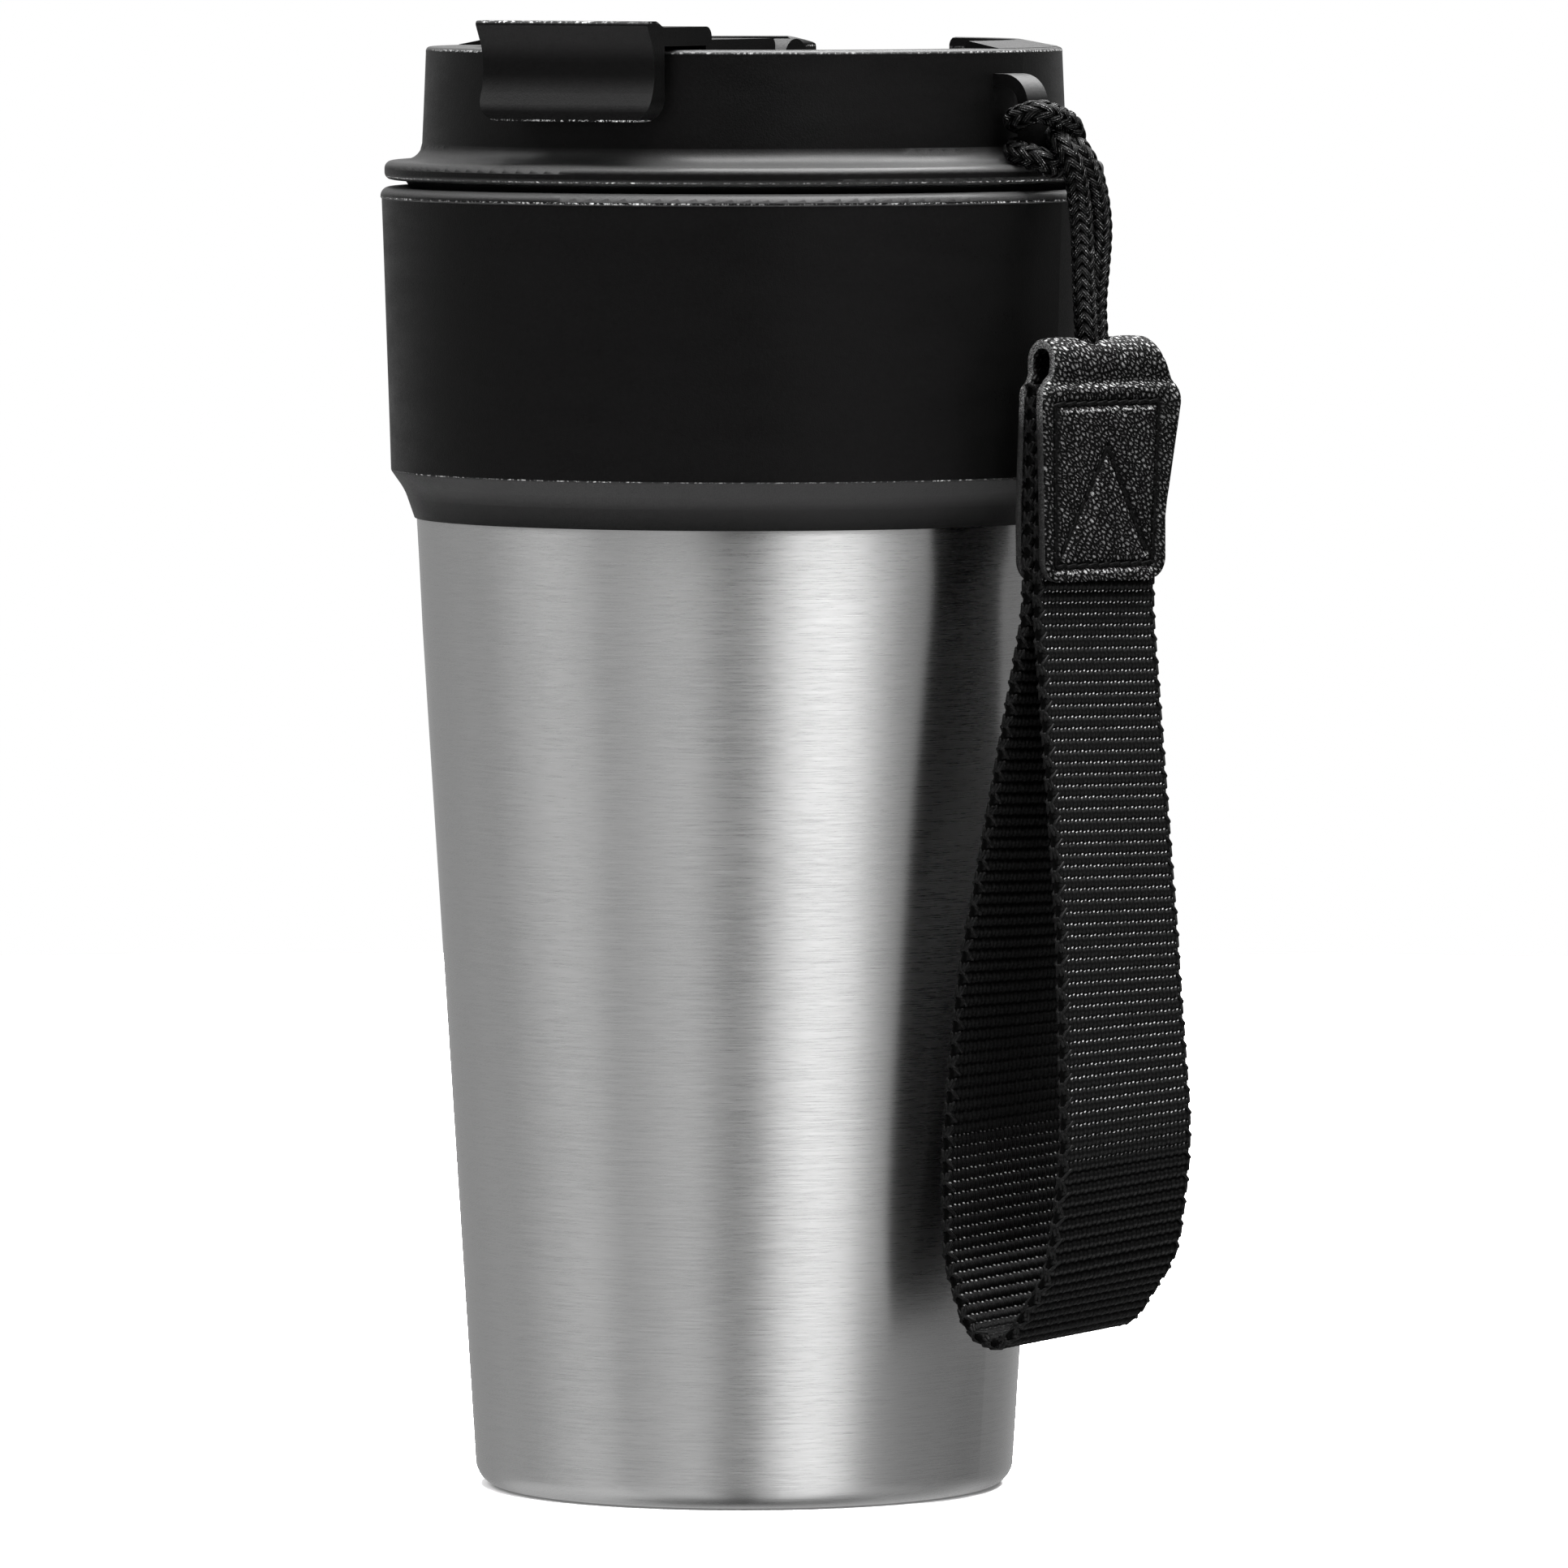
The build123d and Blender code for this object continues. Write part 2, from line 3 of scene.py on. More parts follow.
import bpy
import numpy as np
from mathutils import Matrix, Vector


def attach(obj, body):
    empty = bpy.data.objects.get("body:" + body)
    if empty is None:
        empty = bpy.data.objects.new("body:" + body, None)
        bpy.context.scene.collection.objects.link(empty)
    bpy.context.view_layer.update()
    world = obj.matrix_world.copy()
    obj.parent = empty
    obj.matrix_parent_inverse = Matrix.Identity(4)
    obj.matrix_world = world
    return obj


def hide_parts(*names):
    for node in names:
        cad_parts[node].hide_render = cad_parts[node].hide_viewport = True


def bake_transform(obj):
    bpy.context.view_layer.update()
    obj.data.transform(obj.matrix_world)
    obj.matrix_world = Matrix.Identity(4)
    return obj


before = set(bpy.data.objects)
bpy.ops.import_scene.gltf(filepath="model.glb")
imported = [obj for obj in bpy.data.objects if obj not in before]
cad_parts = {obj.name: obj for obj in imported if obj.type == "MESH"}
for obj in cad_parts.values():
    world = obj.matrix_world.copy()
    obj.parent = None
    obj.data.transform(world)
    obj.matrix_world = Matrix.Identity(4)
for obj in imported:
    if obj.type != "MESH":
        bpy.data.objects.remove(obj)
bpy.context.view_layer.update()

MM = 0.001

# ---------------------------------------------------------------- frames
LUG_AZ = math.radians(83.4 - 90)
STRAP_AZ = math.radians(75.0 - 90)


def turned_frame(angle):
    """Matrix whose columns are out, along and up for a frame turned about the mug's axis."""
    c, s = math.cos(angle), math.sin(angle)
    return np.array([[c, -s, 0], [s, c, 0], [0, 0, 1]])


LUG = turned_frame(LUG_AZ)
STRAP = turned_frame(STRAP_AZ)


def place(points, basis=None):
    """Millimetres in a local frame to metres in the row frame."""
    points = np.asarray(points, float)
    if basis is not None:
        points = points @ basis.T
    return points * MM


# ---------------------------------------------------------------- camera
def add_camera():
    data = bpy.data.cameras.new("camera")
    cam = bpy.data.objects.new("camera", data)
    bpy.context.scene.collection.objects.link(cam)
    data.sensor_width = 36
    data.lens = 346.3
    data.clip_start, data.clip_end = 0.1, 50
    cam.location = (0.9275, -1.6065, 0.201)
    aim = Vector((0.00424, 0.00245, 0.0864))
    cam.rotation_mode = "QUATERNION"
    cam.rotation_quaternion = (aim - cam.location).to_track_quat("-Z", "Y")
    bpy.context.scene.camera = cam


# ---------------------------------------------------------------- shader building
class Shader:
    """Node tree of one material, with short calls for the nodes used here."""

    def __init__(self, name):
        self.material = bpy.data.materials.new(name)
        self.material.use_nodes = True
        self.nodes = self.material.node_tree.nodes
        self.links = self.material.node_tree.links
        self.bsdf = self.nodes["Principled BSDF"]

    def node(self, kind, **inputs):
        made = self.nodes.new(kind)
        for key, value in inputs.items():
            self.feed(made.inputs[key.replace("_", " ")], value)
        return made

    def feed(self, socket, value):
        if isinstance(value, bpy.types.NodeSocket):
            self.links.new(value, socket)
        else:
            socket.default_value = value

    def coords(self, scale=(1, 1, 1)):
        """Object coordinates in millimetres times a scale on each axis."""
        source = self.nodes.new("ShaderNodeTexCoord").outputs["Object"]
        mapping = self.nodes.new("ShaderNodeMapping")
        mapping.inputs["Scale"].default_value = [1000 * s for s in scale]
        self.links.new(source, mapping.inputs["Vector"])
        return mapping.outputs["Vector"]

    def noise(self, scale=(1, 1, 1), detail=3.0, rough=0.55):
        made = self.node("ShaderNodeTexNoise", Vector=self.coords(scale))
        made.inputs["Scale"].default_value = 1.0
        made.inputs["Detail"].default_value = detail
        made.inputs["Roughness"].default_value = rough
        return made.outputs["Fac"]

    def pattern(self, scale, turn=0.0):
        """The mesh's own (across, along) millimetres, turned by some degrees, times a scale on each axis."""
        source = self.nodes.new("ShaderNodeUVMap").outputs["UV"]
        turned = self.nodes.new("ShaderNodeMapping")
        turned.inputs["Rotation"].default_value = (0, 0, math.radians(turn))
        self.links.new(source, turned.inputs["Vector"])
        sized = self.nodes.new("ShaderNodeMapping")
        sized.inputs["Scale"].default_value = (*scale, 1)
        self.links.new(turned.outputs["Vector"], sized.inputs["Vector"])
        return sized.outputs["Vector"]

    def cells(self, vector, feature="DISTANCE_TO_EDGE"):
        made = self.node("ShaderNodeTexVoronoi", Vector=vector)
        made.feature = feature
        made.voronoi_dimensions = "2D"
        made.inputs["Scale"].default_value = 1.0
        return made.outputs["Distance"]

    def height(self):
        """Height above the table in millimetres."""
        return self.node("ShaderNodeSeparateXYZ", Vector=self.coords()).outputs[2]

    def upward(self):
        """How far the surface faces up, from -1 to 1."""
        normal = self.nodes.new("ShaderNodeNewGeometry").outputs["Normal"]
        return self.node("ShaderNodeSeparateXYZ", Vector=normal).outputs[2]

    def attribute(self, name):
        made = self.nodes.new("ShaderNodeAttribute")
        made.attribute_name = name
        return made.outputs["Fac"]

    def mix(self, share, low, high):
        made = self.nodes.new("ShaderNodeMix")
        made.data_type = "RGBA"
        self.feed(made.inputs[0], share)
        self.feed(made.inputs[6], low)
        self.feed(made.inputs[7], high)
        return made.outputs[2]

    def ramp(self, value, stops):
        made = self.nodes.new("ShaderNodeValToRGB")
        ramp = made.color_ramp
        while len(ramp.elements) < len(stops):
            ramp.elements.new(0.5)
        for element, (at, colour) in zip(ramp.elements, stops):
            element.position = at
            tone = (colour,) * 3 if isinstance(colour, (int, float)) else colour
            element.color = (*tone, 1)
        self.links.new(value, made.inputs["Fac"])
        return made.outputs["Color"]

    def span(self, value, low, high, to_low, to_high):
        made = self.nodes.new("ShaderNodeMapRange")
        self.links.new(value, made.inputs["Value"])
        for key, number in zip(("From Min", "From Max", "To Min", "To Max"), (low, high, to_low, to_high)):
            made.inputs[key].default_value = number
        return made.outputs["Result"]

    def math(self, kind, a, b=0.0):
        made = self.nodes.new("ShaderNodeMath")
        made.operation = kind
        self.feed(made.inputs[0], a)
        self.feed(made.inputs[1], b)
        return made.outputs[0]

    def bump(self, height, strength, distance_mm, below=None):
        made = self.node("ShaderNodeBump", Height=height)
        made.inputs["Strength"].default_value = strength
        made.inputs["Distance"].default_value = distance_mm * MM
        if below is not None:
            self.links.new(below, made.inputs["Normal"])
        return made.outputs["Normal"]

    def set(self, **sockets):
        for key, value in sockets.items():
            self.feed(self.bsdf.inputs[key.replace("_", " ")], value)
        return self.material


def rgb(r, g=None, b=None):
    return (r, r if g is None else g, r if b is None else b, 1)


def brushed_steel(name, tone, rough=0.28):
    """Fine scratches that run round the mug, with short flecks between them."""
    s = Shader(name)
    grain = s.noise((0.13, 0.13, 9.0), 4, 0.7)
    flecks = s.noise((0.4, 0.4, 16.0), 2, 0.6)
    cloud = s.noise((0.06, 0.06, 0.05), 2)
    mixed = s.math("ADD", s.math("MULTIPLY", grain, 0.6), s.math("MULTIPLY", flecks, 0.4))
    colour = s.ramp(mixed, [(0.3, tone * 0.86), (0.5, tone), (0.72, tone * 1.1)])
    roughness = s.math("ADD", s.span(mixed, 0.3, 0.7, rough - 0.04, rough + 0.05),
                       s.span(cloud, 0.3, 0.7, -0.008, 0.008))
    tangent = s.nodes.new("ShaderNodeTangent")
    tangent.direction_type = "RADIAL"
    tangent.axis = "Z"
    return s.set(
        Base_Color=colour, Metallic=1.0, Roughness=roughness, Anisotropic=0.9, Anisotropic_Rotation=0.25,
        Tangent=tangent.outputs["Tangent"], Normal=s.bump(mixed, 0.22, 0.02),
    )


def moulded_plastic(name, tone, rough=0.36, edge_heights=(), painted_light=0.0):
    """Satin plastic with a fine grain, a painted highlight where it faces up, a painted reflection where it
    faces under that is weaker towards the bottom of the collar's flare, and pale flash along some edges.

    edge_heights lists (height, half width) of the flash lines in millimetres.
    """
    s = Shader(name)
    fine = s.noise((5.5, 5.5, 5.5), 3, 0.6)
    coarse = s.noise((1.2, 1.2, 1.2), 2)
    marks = s.noise((0.08, 0.08, 0.3), 3)
    colour = s.ramp(fine, [(0.3, tone * 0.8), (0.7, tone * 1.25)])
    up = s.upward()
    # painted reflection where the surface faces down, weaker towards the flare's bottom
    under = s.math("MULTIPLY", s.span(up, -0.08, -0.45, 0.0, 0.36),
                   s.span(s.height(), 119.5, 123.5, 0.15, 1.0))
    # painted highlight where the surface faces up, added to the painted reflection underneath
    painted_light_mask = s.math("ADD", s.span(up, 0.07, 0.6, 0.0, 1.0), under)
    colour = s.mix(s.math("MULTIPLY", painted_light_mask, s.span(fine, 0.3, 0.7, 0.7, 1.0)), colour, rgb(painted_light))
    flash_nicks_and_lip_breakup = s.span(s.noise((2.2, 2.2, 2.2), 3, 0.7), 0.5, 0.66, 0.0, 1.0)
    stretch = s.span(s.noise((0.06, 0.06, 0.06), 1), 0.4, 0.6, 0.25, 1.0)
    for at, half in edge_heights:
        line = s.span(s.math("ABSOLUTE", s.math("SUBTRACT", s.height(), at)), half * 0.5, half, 1.0, 0.0)
        colour = s.mix(s.math("MULTIPLY", line, s.math("MULTIPLY", flash_nicks_and_lip_breakup, stretch)), colour, rgb(0.22))
    roughness = s.math("ADD", s.span(fine, 0.3, 0.7, rough - 0.06, rough + 0.08),
                       s.span(marks, 0.35, 0.65, -0.04, 0.04))
    normal = s.bump(coarse, 0.1, 0.1, s.bump(fine, 0.45, 0.05))
    return s.set(Base_Color=colour, Roughness=roughness, Normal=normal, Specular_IOR_Level=0.07)


def simple_soft(name, colour_low, colour_high, rough, scale=3.0, bump=0.2, gloss=0.25):
    s = Shader(name)
    fine = s.noise((scale,) * 3, 3)
    colour = s.ramp(fine, [(0.3, colour_low), (0.7, colour_high)])
    return s.set(Base_Color=colour, Roughness=s.span(fine, 0.3, 0.7, rough - 0.05, rough + 0.05),
                 Normal=s.bump(fine, bump, 0.05), Specular_IOR_Level=gloss)


def pebbled_leather(name, tone):
    """Coated leather with slanting pebbles; painted shade blackens the creases, painted highlights on some
    crowns stand in for gloss, and the seam grooves get painted shade with a painted highlight on their lower
    lips.
    """
    s = Shader(name)
    warp = s.noise((0.5, 0.5, 0.5), 2)
    edge = s.cells(s.pattern((1.15, 2.1), 32))
    fine = s.cells(s.pattern((3.0, 4.4), 20))
    height = s.math("ADD", s.span(edge, 0.0, 0.5, 0.0, 1.0), s.span(fine, 0.0, 0.4, 0.0, 0.35))
    dent = s.math("ADD", s.math("MULTIPLY", height, 0.7), s.math("MULTIPLY", warp, 0.3))
    # painted shade down in the creases, painted highlight up on the crowns
    dark = s.ramp(dent, [(0.3, tone * 0.03), (0.7, tone), (1.0, tone * 4.0)])
    crown = s.span(dent, 0.55, 0.95, 0.0, 1.0)
    facing = s.span(s.upward(), 0.0, 0.7, 0.2, 1.3)
    patchy = s.span(s.noise((1.6, 1.6, 1.6), 2), 0.35, 0.65, 0.3, 1.0)
    # painted glints on the crowns, brighter where they face up
    colour = s.mix(s.math("MULTIPLY", s.math("MULTIPLY", crown, facing), patchy), dark, rgb(0.22))
    # painted shade in the seam grooves, where lit is low
    colour = s.mix(s.attribute("lit"), rgb(0.0003), colour)
    # painted highlight along each groove's lower lip, broken up by noise
    flash_nicks_and_lip_breakup = s.span(s.noise((2.6, 2.6, 2.6), 2, 0.7), 0.52, 0.64, 0.0, 1.0)
    lip_highlight = s.span(s.attribute("lit"), 1.1, 1.9, 0.0, 1.0)
    colour = s.mix(s.math("MULTIPLY", lip_highlight, flash_nicks_and_lip_breakup), colour, rgb(0.16))
    return s.set(Base_Color=colour, Roughness=s.span(dent, 0.2, 0.9, 0.6, 0.35),
                 Normal=s.bump(height, 1.0, 0.07), Specular_IOR_Level=0.03)


def cut_leather(name, tone):
    """Fuzzy cut edge, pale with a painted highlight round the tunnel and darker below it."""
    s = Shader(name)
    fibre = s.noise((6.0, 6.0, 6.0), 4, 0.7)
    # pale fibre tones: painted highlight where the cut edge catches the light round the tunnel
    colour = s.ramp(fibre, [(0.4, tone * 0.1), (0.52, tone * 0.7), (0.66, tone * 4.0)])
    # darker below the tunnel, where the painted highlight fades out
    dark_below = s.span(s.height(), 131.0, 135.0, 0.88, 0.0)
    return s.set(Base_Color=s.mix(dark_below, colour, rgb(0.003)), Roughness=0.8, Normal=s.bump(fibre, 0.9, 0.12),
                 Specular_IOR_Level=0.05)


def woven_nylon(name, tone):
    """Warp yarns in columns; each yarn has a painted glint where it turns up at a rib's head, painted shade in
    the gaps and joins, and a painted sheen that changes along each rib and with which way the band faces.
    """
    s = Shader(name)
    split = s.node("ShaderNodeSeparateXYZ", Vector=s.pattern((1 / COLUMN, 1 / ROW)))
    column, row = split.outputs[0], split.outputs[1]
    odd = s.math("GREATER_THAN", s.math("FLOORED_MODULO", column, 2.0), 1.0)
    shifted = s.math("ADD", row, s.math("MULTIPLY", odd, STAGGER))
    a = s.math("SUBTRACT", s.math("FRACT", column), 0.5)
    b = s.math("SUBTRACT", s.math("FRACT", s.math("ADD", shifted, 0.5)), 0.5)
    slant = s.math("SUBTRACT", a, s.math("MULTIPLY", b, 1.6))
    reach = s.math("SQRT", s.math("ADD", s.math("POWER", s.math("MULTIPLY", slant, 1.3), 2.0),
                                  s.math("POWER", s.math("MULTIPLY", b, 3.6), 2.0)))
    # painted glints, kept where lit says the band faces up
    painted_glint = s.span(reach, 0.12, 0.34, 1.0, 0.0)
    uneven = s.span(s.noise((1.1, 1.1, 1.1), 1), 0.35, 0.6, 0.25, 1.0)
    painted_glint = s.math("MULTIPLY", s.math("MULTIPLY", painted_glint, uneven), s.attribute("lit"))
    filament = s.noise((9.0, 9.0, 2.0), 2, 0.6)
    # painted shade in the gaps between yarns and at the joins between ribs
    gap = s.span(s.math("ABSOLUTE", a), 0.3, 0.5, 1.0, 0.25)
    join = s.span(s.math("ABSOLUTE", b), 0.04, 0.24, 0.0, 1.0)
    body = s.math("MULTIPLY", s.math("MULTIPLY", gap, join), s.span(filament, 0.3, 0.7, 0.5, 1.0))
    # painted sheen along each rib and by which way the surface faces
    sheen = s.math("MULTIPLY", s.span(b, 0.1, 0.45, 0.6, 1.6), s.span(s.upward(), -0.35, 0.12, 0.9, 0.3))
    dark = s.ramp(s.math("MULTIPLY", body, sheen), [(0.0, tone * 0.05), (1.0, tone * 5.0)])
    colour = s.mix(painted_glint, dark, rgb(0.2))
    height = s.math("ADD", s.math("MULTIPLY", body, 0.8), s.math("MULTIPLY", filament, 0.3))
    return s.set(Base_Color=colour, Roughness=s.span(painted_glint, 0, 1, 0.55, 0.25),
                 Normal=s.bump(height, 0.8, 0.07), Specular_IOR_Level=0.03)


def braided_nylon(name, tone):
    """Bundles of black filaments with painted glints as thin lines where they pass over a crossing, and painted
    shade on the bundle edges and where a bundle passes under.
    """
    s = Shader(name)
    split = s.node("ShaderNodeSeparateXYZ", Vector=s.pattern((1, 1)))
    lines = s.math("SINE", s.math("MULTIPLY", split.outputs[0], 2 * math.pi * FILAMENTS))
    # painted shade towards the edges of each bundle
    crown = s.span(s.math("SINE", s.math("MULTIPLY", split.outputs[0], 2 * math.pi)), 0.35, 0.9, 0.0, 1.0)
    # painted shade on a bundle where it passes under, from lit
    over = s.math("MULTIPLY", crown, s.span(s.attribute("lit"), 0.25, 0.8, 0.0, 1.0))
    fine = s.noise((7.0, 7.0, 7.0), 3, 0.6)
    patchy = s.span(s.noise((1.3, 1.3, 1.3), 2), 0.42, 0.62, 0.08, 1.0)
    facing = s.span(s.upward(), -0.4, 0.6, 0.4, 1.0)
    height = s.math("ADD", s.math("MULTIPLY", lines, 0.35), fine)
    # painted shade low in the filament lines, painted highlight on their tops
    dark = s.ramp(s.math("MULTIPLY", height, over),
                  [(0.1, tone * 0.1), (0.6, tone * 2.0), (0.95, tone * 6.0)])
    # painted glints, more where the surface faces up
    glint = s.math("MULTIPLY", s.span(height, 0.84, 1.0, 0.0, 1.0), s.math("MULTIPLY", patchy, facing))
    return s.set(Base_Color=s.mix(s.math("MULTIPLY", glint, over), dark, rgb(0.3)), Specular_IOR_Level=0.03,
                 Roughness=s.span(height, 0.2, 0.9, 0.5, 0.25), Normal=s.bump(height, 1.0, 0.05))


# ---------------------------------------------------------------- stage
CAMERA_AZ = math.radians(30)
WORLD_STRENGTH = 1.7
# (degrees right of the camera's direction, tone) of the surroundings that reflections see
AZIMUTH_TONES = [
    (-180, 0.45), (-161, 0.36), (-122, 0.48), (-102, 0.47), (-82, 0.54), (-69, 0.58), (-60, 0.58),
    (-52, 0.45), (-45, 0.50), (-30, 0.56), (-20, 0.54), (-5, 0.20), (4, 0.24), (12, 0.52), (20, 0.74),
    (30, 0.86), (42, 0.84), (50, 0.60), (58, 0.42), (70, 0.34), (110, 0.22), (180, 0.45),
]
# (degrees above the horizon, tone)
HEIGHT_TONES = [(-90, 0.1), (-70, 0.3), (-58, 1.0), (-30, 1.0), (-20, 0.6), (16, 0.6), (35, 0.5), (90, 0.4)]
FLOOR_SIDES = 96
FLOOR_Z = -0.05


def add_world():
    """White to the camera; to everything else, tones by direction round the mug times tones by height."""
    world = bpy.data.worlds.new("studio")
    bpy.context.scene.world = world
    world.use_nodes = True
    nodes, links = world.node_tree.nodes, world.node_tree.links

    def math_node(kind, *values):
        made = nodes.new("ShaderNodeMath")
        made.operation = kind
        for socket, value in zip(made.inputs, values):
            if isinstance(value, bpy.types.NodeSocket):
                links.new(value, socket)
            else:
                socket.default_value = value
        return made.outputs[0]

    def tone_ramp(share, stops):
        ramp = nodes.new("ShaderNodeValToRGB")
        elements = ramp.color_ramp.elements
        while len(elements) < len(stops):
            elements.new(0.5)
        for element, (at, tone) in zip(elements, stops):
            element.position = at
            element.color = (tone, tone, tone, 1)
        links.new(share, ramp.inputs[0])
        return ramp.outputs[0]

    split = nodes.new("ShaderNodeSeparateXYZ")
    links.new(nodes.new("ShaderNodeTexCoord").outputs["Generated"], split.inputs[0])
    x, y, z = split.outputs
    c, s = math.cos(CAMERA_AZ), math.sin(CAMERA_AZ)
    side = math_node("ADD", math_node("MULTIPLY", x, c), math_node("MULTIPLY", y, s))
    front = math_node("SUBTRACT", math_node("MULTIPLY", x, s), math_node("MULTIPLY", y, c))
    turn = math_node("MULTIPLY_ADD", math_node("ARCTAN2", side, front), 1 / (2 * math.pi), 0.5)
    round_it = tone_ramp(turn, [((deg + 180) / 360, tone) for deg, tone in AZIMUTH_TONES])
    upright = tone_ramp(math_node("MULTIPLY_ADD", z, 0.5, 0.5),
                        [((math.sin(math.radians(deg)) + 1) / 2, tone) for deg, tone in HEIGHT_TONES])
    lit = math_node("MULTIPLY", math_node("MULTIPLY", round_it, upright), WORLD_STRENGTH)
    mix = nodes.new("ShaderNodeMix")
    mix.data_type = "FLOAT"
    links.new(nodes.new("ShaderNodeLightPath").outputs["Is Camera Ray"], mix.inputs[0])
    links.new(lit, mix.inputs[2])
    mix.inputs[3].default_value = 1.0
    links.new(mix.outputs[0], nodes["Background"].inputs["Strength"])
    nodes["Background"].inputs["Color"].default_value = (1, 1, 1, 1)


def area_light(name, at, aim, size, energy):
    data = bpy.data.lights.new(name, "AREA")
    data.energy = energy
    data.shape = "RECTANGLE"
    data.size = data.size_y = size
    lamp = bpy.data.objects.new(name, data)
    bpy.context.scene.collection.objects.link(lamp)
    lamp.location = at
    lamp.rotation_mode = "QUATERNION"
    lamp.rotation_quaternion = (Vector(aim) - Vector(at)).to_track_quat("-Z", "Y")


def add_floor():
    """White table in two rings; it catches light but doesn't show in reflections."""
    white = Shader("floor_white").set(Base_Color=rgb(0.95), Roughness=0.9, Specular_IOR_Level=0.1)
    count = FLOOR_SIDES
    angles = np.linspace(0, 2 * math.pi, count, endpoint=False)
    ring = np.stack([np.cos(angles), np.sin(angles), np.full(count, FLOOR_Z)], axis=1)
    radii = {"floor_near": (1.0, 180.0), "floor_far": (180.0, 900.0)}
    for name, (inner, outer) in radii.items():
        verts = np.concatenate([ring * (inner, inner, 1), ring * (outer, outer, 1)])
        faces = [[i, (i + 1) % count, count + (i + 1) % count, count + i] for i in range(count)]
        floor = add_mesh(name, verts, faces, [white])
        floor.visible_glossy = False


# ---------------------------------------------------------------- mesh building
def add_mesh(name, verts_mm, faces, materials, basis=None, uv=None, slots=None, lit=None):
    """Smooth mesh from millimetres in a local frame; uv and lit are per vertex, slots per face."""
    mesh = bpy.data.meshes.new(name)
    mesh.from_pydata(place(verts_mm, basis).tolist(), [], faces)
    for material in materials:
        mesh.materials.append(material)
    if uv is not None:
        loops = np.zeros(len(mesh.loops), np.int32)
        mesh.loops.foreach_get("vertex_index", loops)
        layer = mesh.uv_layers.new(name="along")
        layer.data.foreach_set("uv", np.asarray(uv, np.float32)[loops].ravel())
    if slots is not None:
        mesh.polygons.foreach_set("material_index", np.asarray(slots, np.int32))
    if lit is not None:
        mesh.attributes.new("lit", "FLOAT", "POINT").data.foreach_set("value", np.asarray(lit, np.float32))
    mesh.polygons.foreach_set("use_smooth", [True] * len(mesh.polygons))
    made = bpy.data.objects.new(name, mesh)
    bpy.context.scene.collection.objects.link(made)
    return made


def run_length(points):
    """Distance along a line at each of its points."""
    return np.concatenate([[0], np.cumsum(np.linalg.norm(np.diff(points, axis=0), axis=1))])


def fillet_path(points, step=0.2):
    """Evenly spaced (x, y) points along runs joined by arcs; a point may carry its corner radius."""
    out = [np.array(points[0][:2], float)]
    for before, at, after in zip(points, points[1:], points[2:]):
        p0, p1, p2 = (np.array(q[:2], float) for q in (before, at, after))
        d0 = (p0 - p1) / np.linalg.norm(p0 - p1)
        d2 = (p2 - p1) / np.linalg.norm(p2 - p1)
        r = at[2] if len(at) > 2 else 0
        half = math.acos(max(-1, min(1, float(d0 @ d2)))) / 2
        reach = r / math.tan(half)
        centre = p1 + (d0 + d2) / np.linalg.norm(d0 + d2) * r / math.sin(half)
        start, end = p1 + d0 * reach - centre, p1 + d2 * reach - centre
        turn = math.atan2(start[0] * end[1] - start[1] * end[0], float(start @ end))
        count = max(2, int(abs(turn) * r / step) + 1)
        for k in range(count + 1):
            a = turn * k / count
            c, s = math.cos(a), math.sin(a)
            out.append(centre + np.array([start[0] * c - start[1] * s, start[0] * s + start[1] * c]))
    out.append(np.array(points[-1][:2], float))
    return resample(np.array(out), step)


def resample(points, step):
    """The same line with points every step millimetres."""
    gaps = np.linalg.norm(np.diff(points, axis=0), axis=1)
    keep = np.concatenate([[True], gaps > 1e-9])
    points = points[keep]
    run = run_length(points)
    count = max(2, int(round(run[-1] / step)))
    at = np.linspace(0, run[-1], count + 1)
    return np.stack([np.interp(at, run, points[:, k]) for k in range(points.shape[1])], axis=1)


def frames_along(path):
    """Two carried side vectors at each point of a 3-D line, square to it and without twist."""
    tangents = np.gradient(path, axis=0)
    tangents /= np.linalg.norm(tangents, axis=1)[:, None]
    side = np.cross(tangents[0], (0.0, 0.0, 1.0))
    if np.linalg.norm(side) < 0.3:
        side = np.cross(tangents[0], (1.0, 0.0, 0.0))
    sides = []
    for t in tangents:
        side = side - t * (side @ t)
        side = side / np.linalg.norm(side)
        sides.append(side)
    sides = np.array(sides)
    return sides, np.cross(tangents, sides)


def tube_loops(path, radius, segments):
    """Round cross-sections along a 3-D line."""
    sides, ups = frames_along(path)
    angles = np.linspace(0, 2 * math.pi, segments, endpoint=False)
    circle = np.cos(angles)[None, :, None] * sides[:, None] + np.sin(angles)[None, :, None] * ups[:, None]
    return path[:, None] + circle * radius


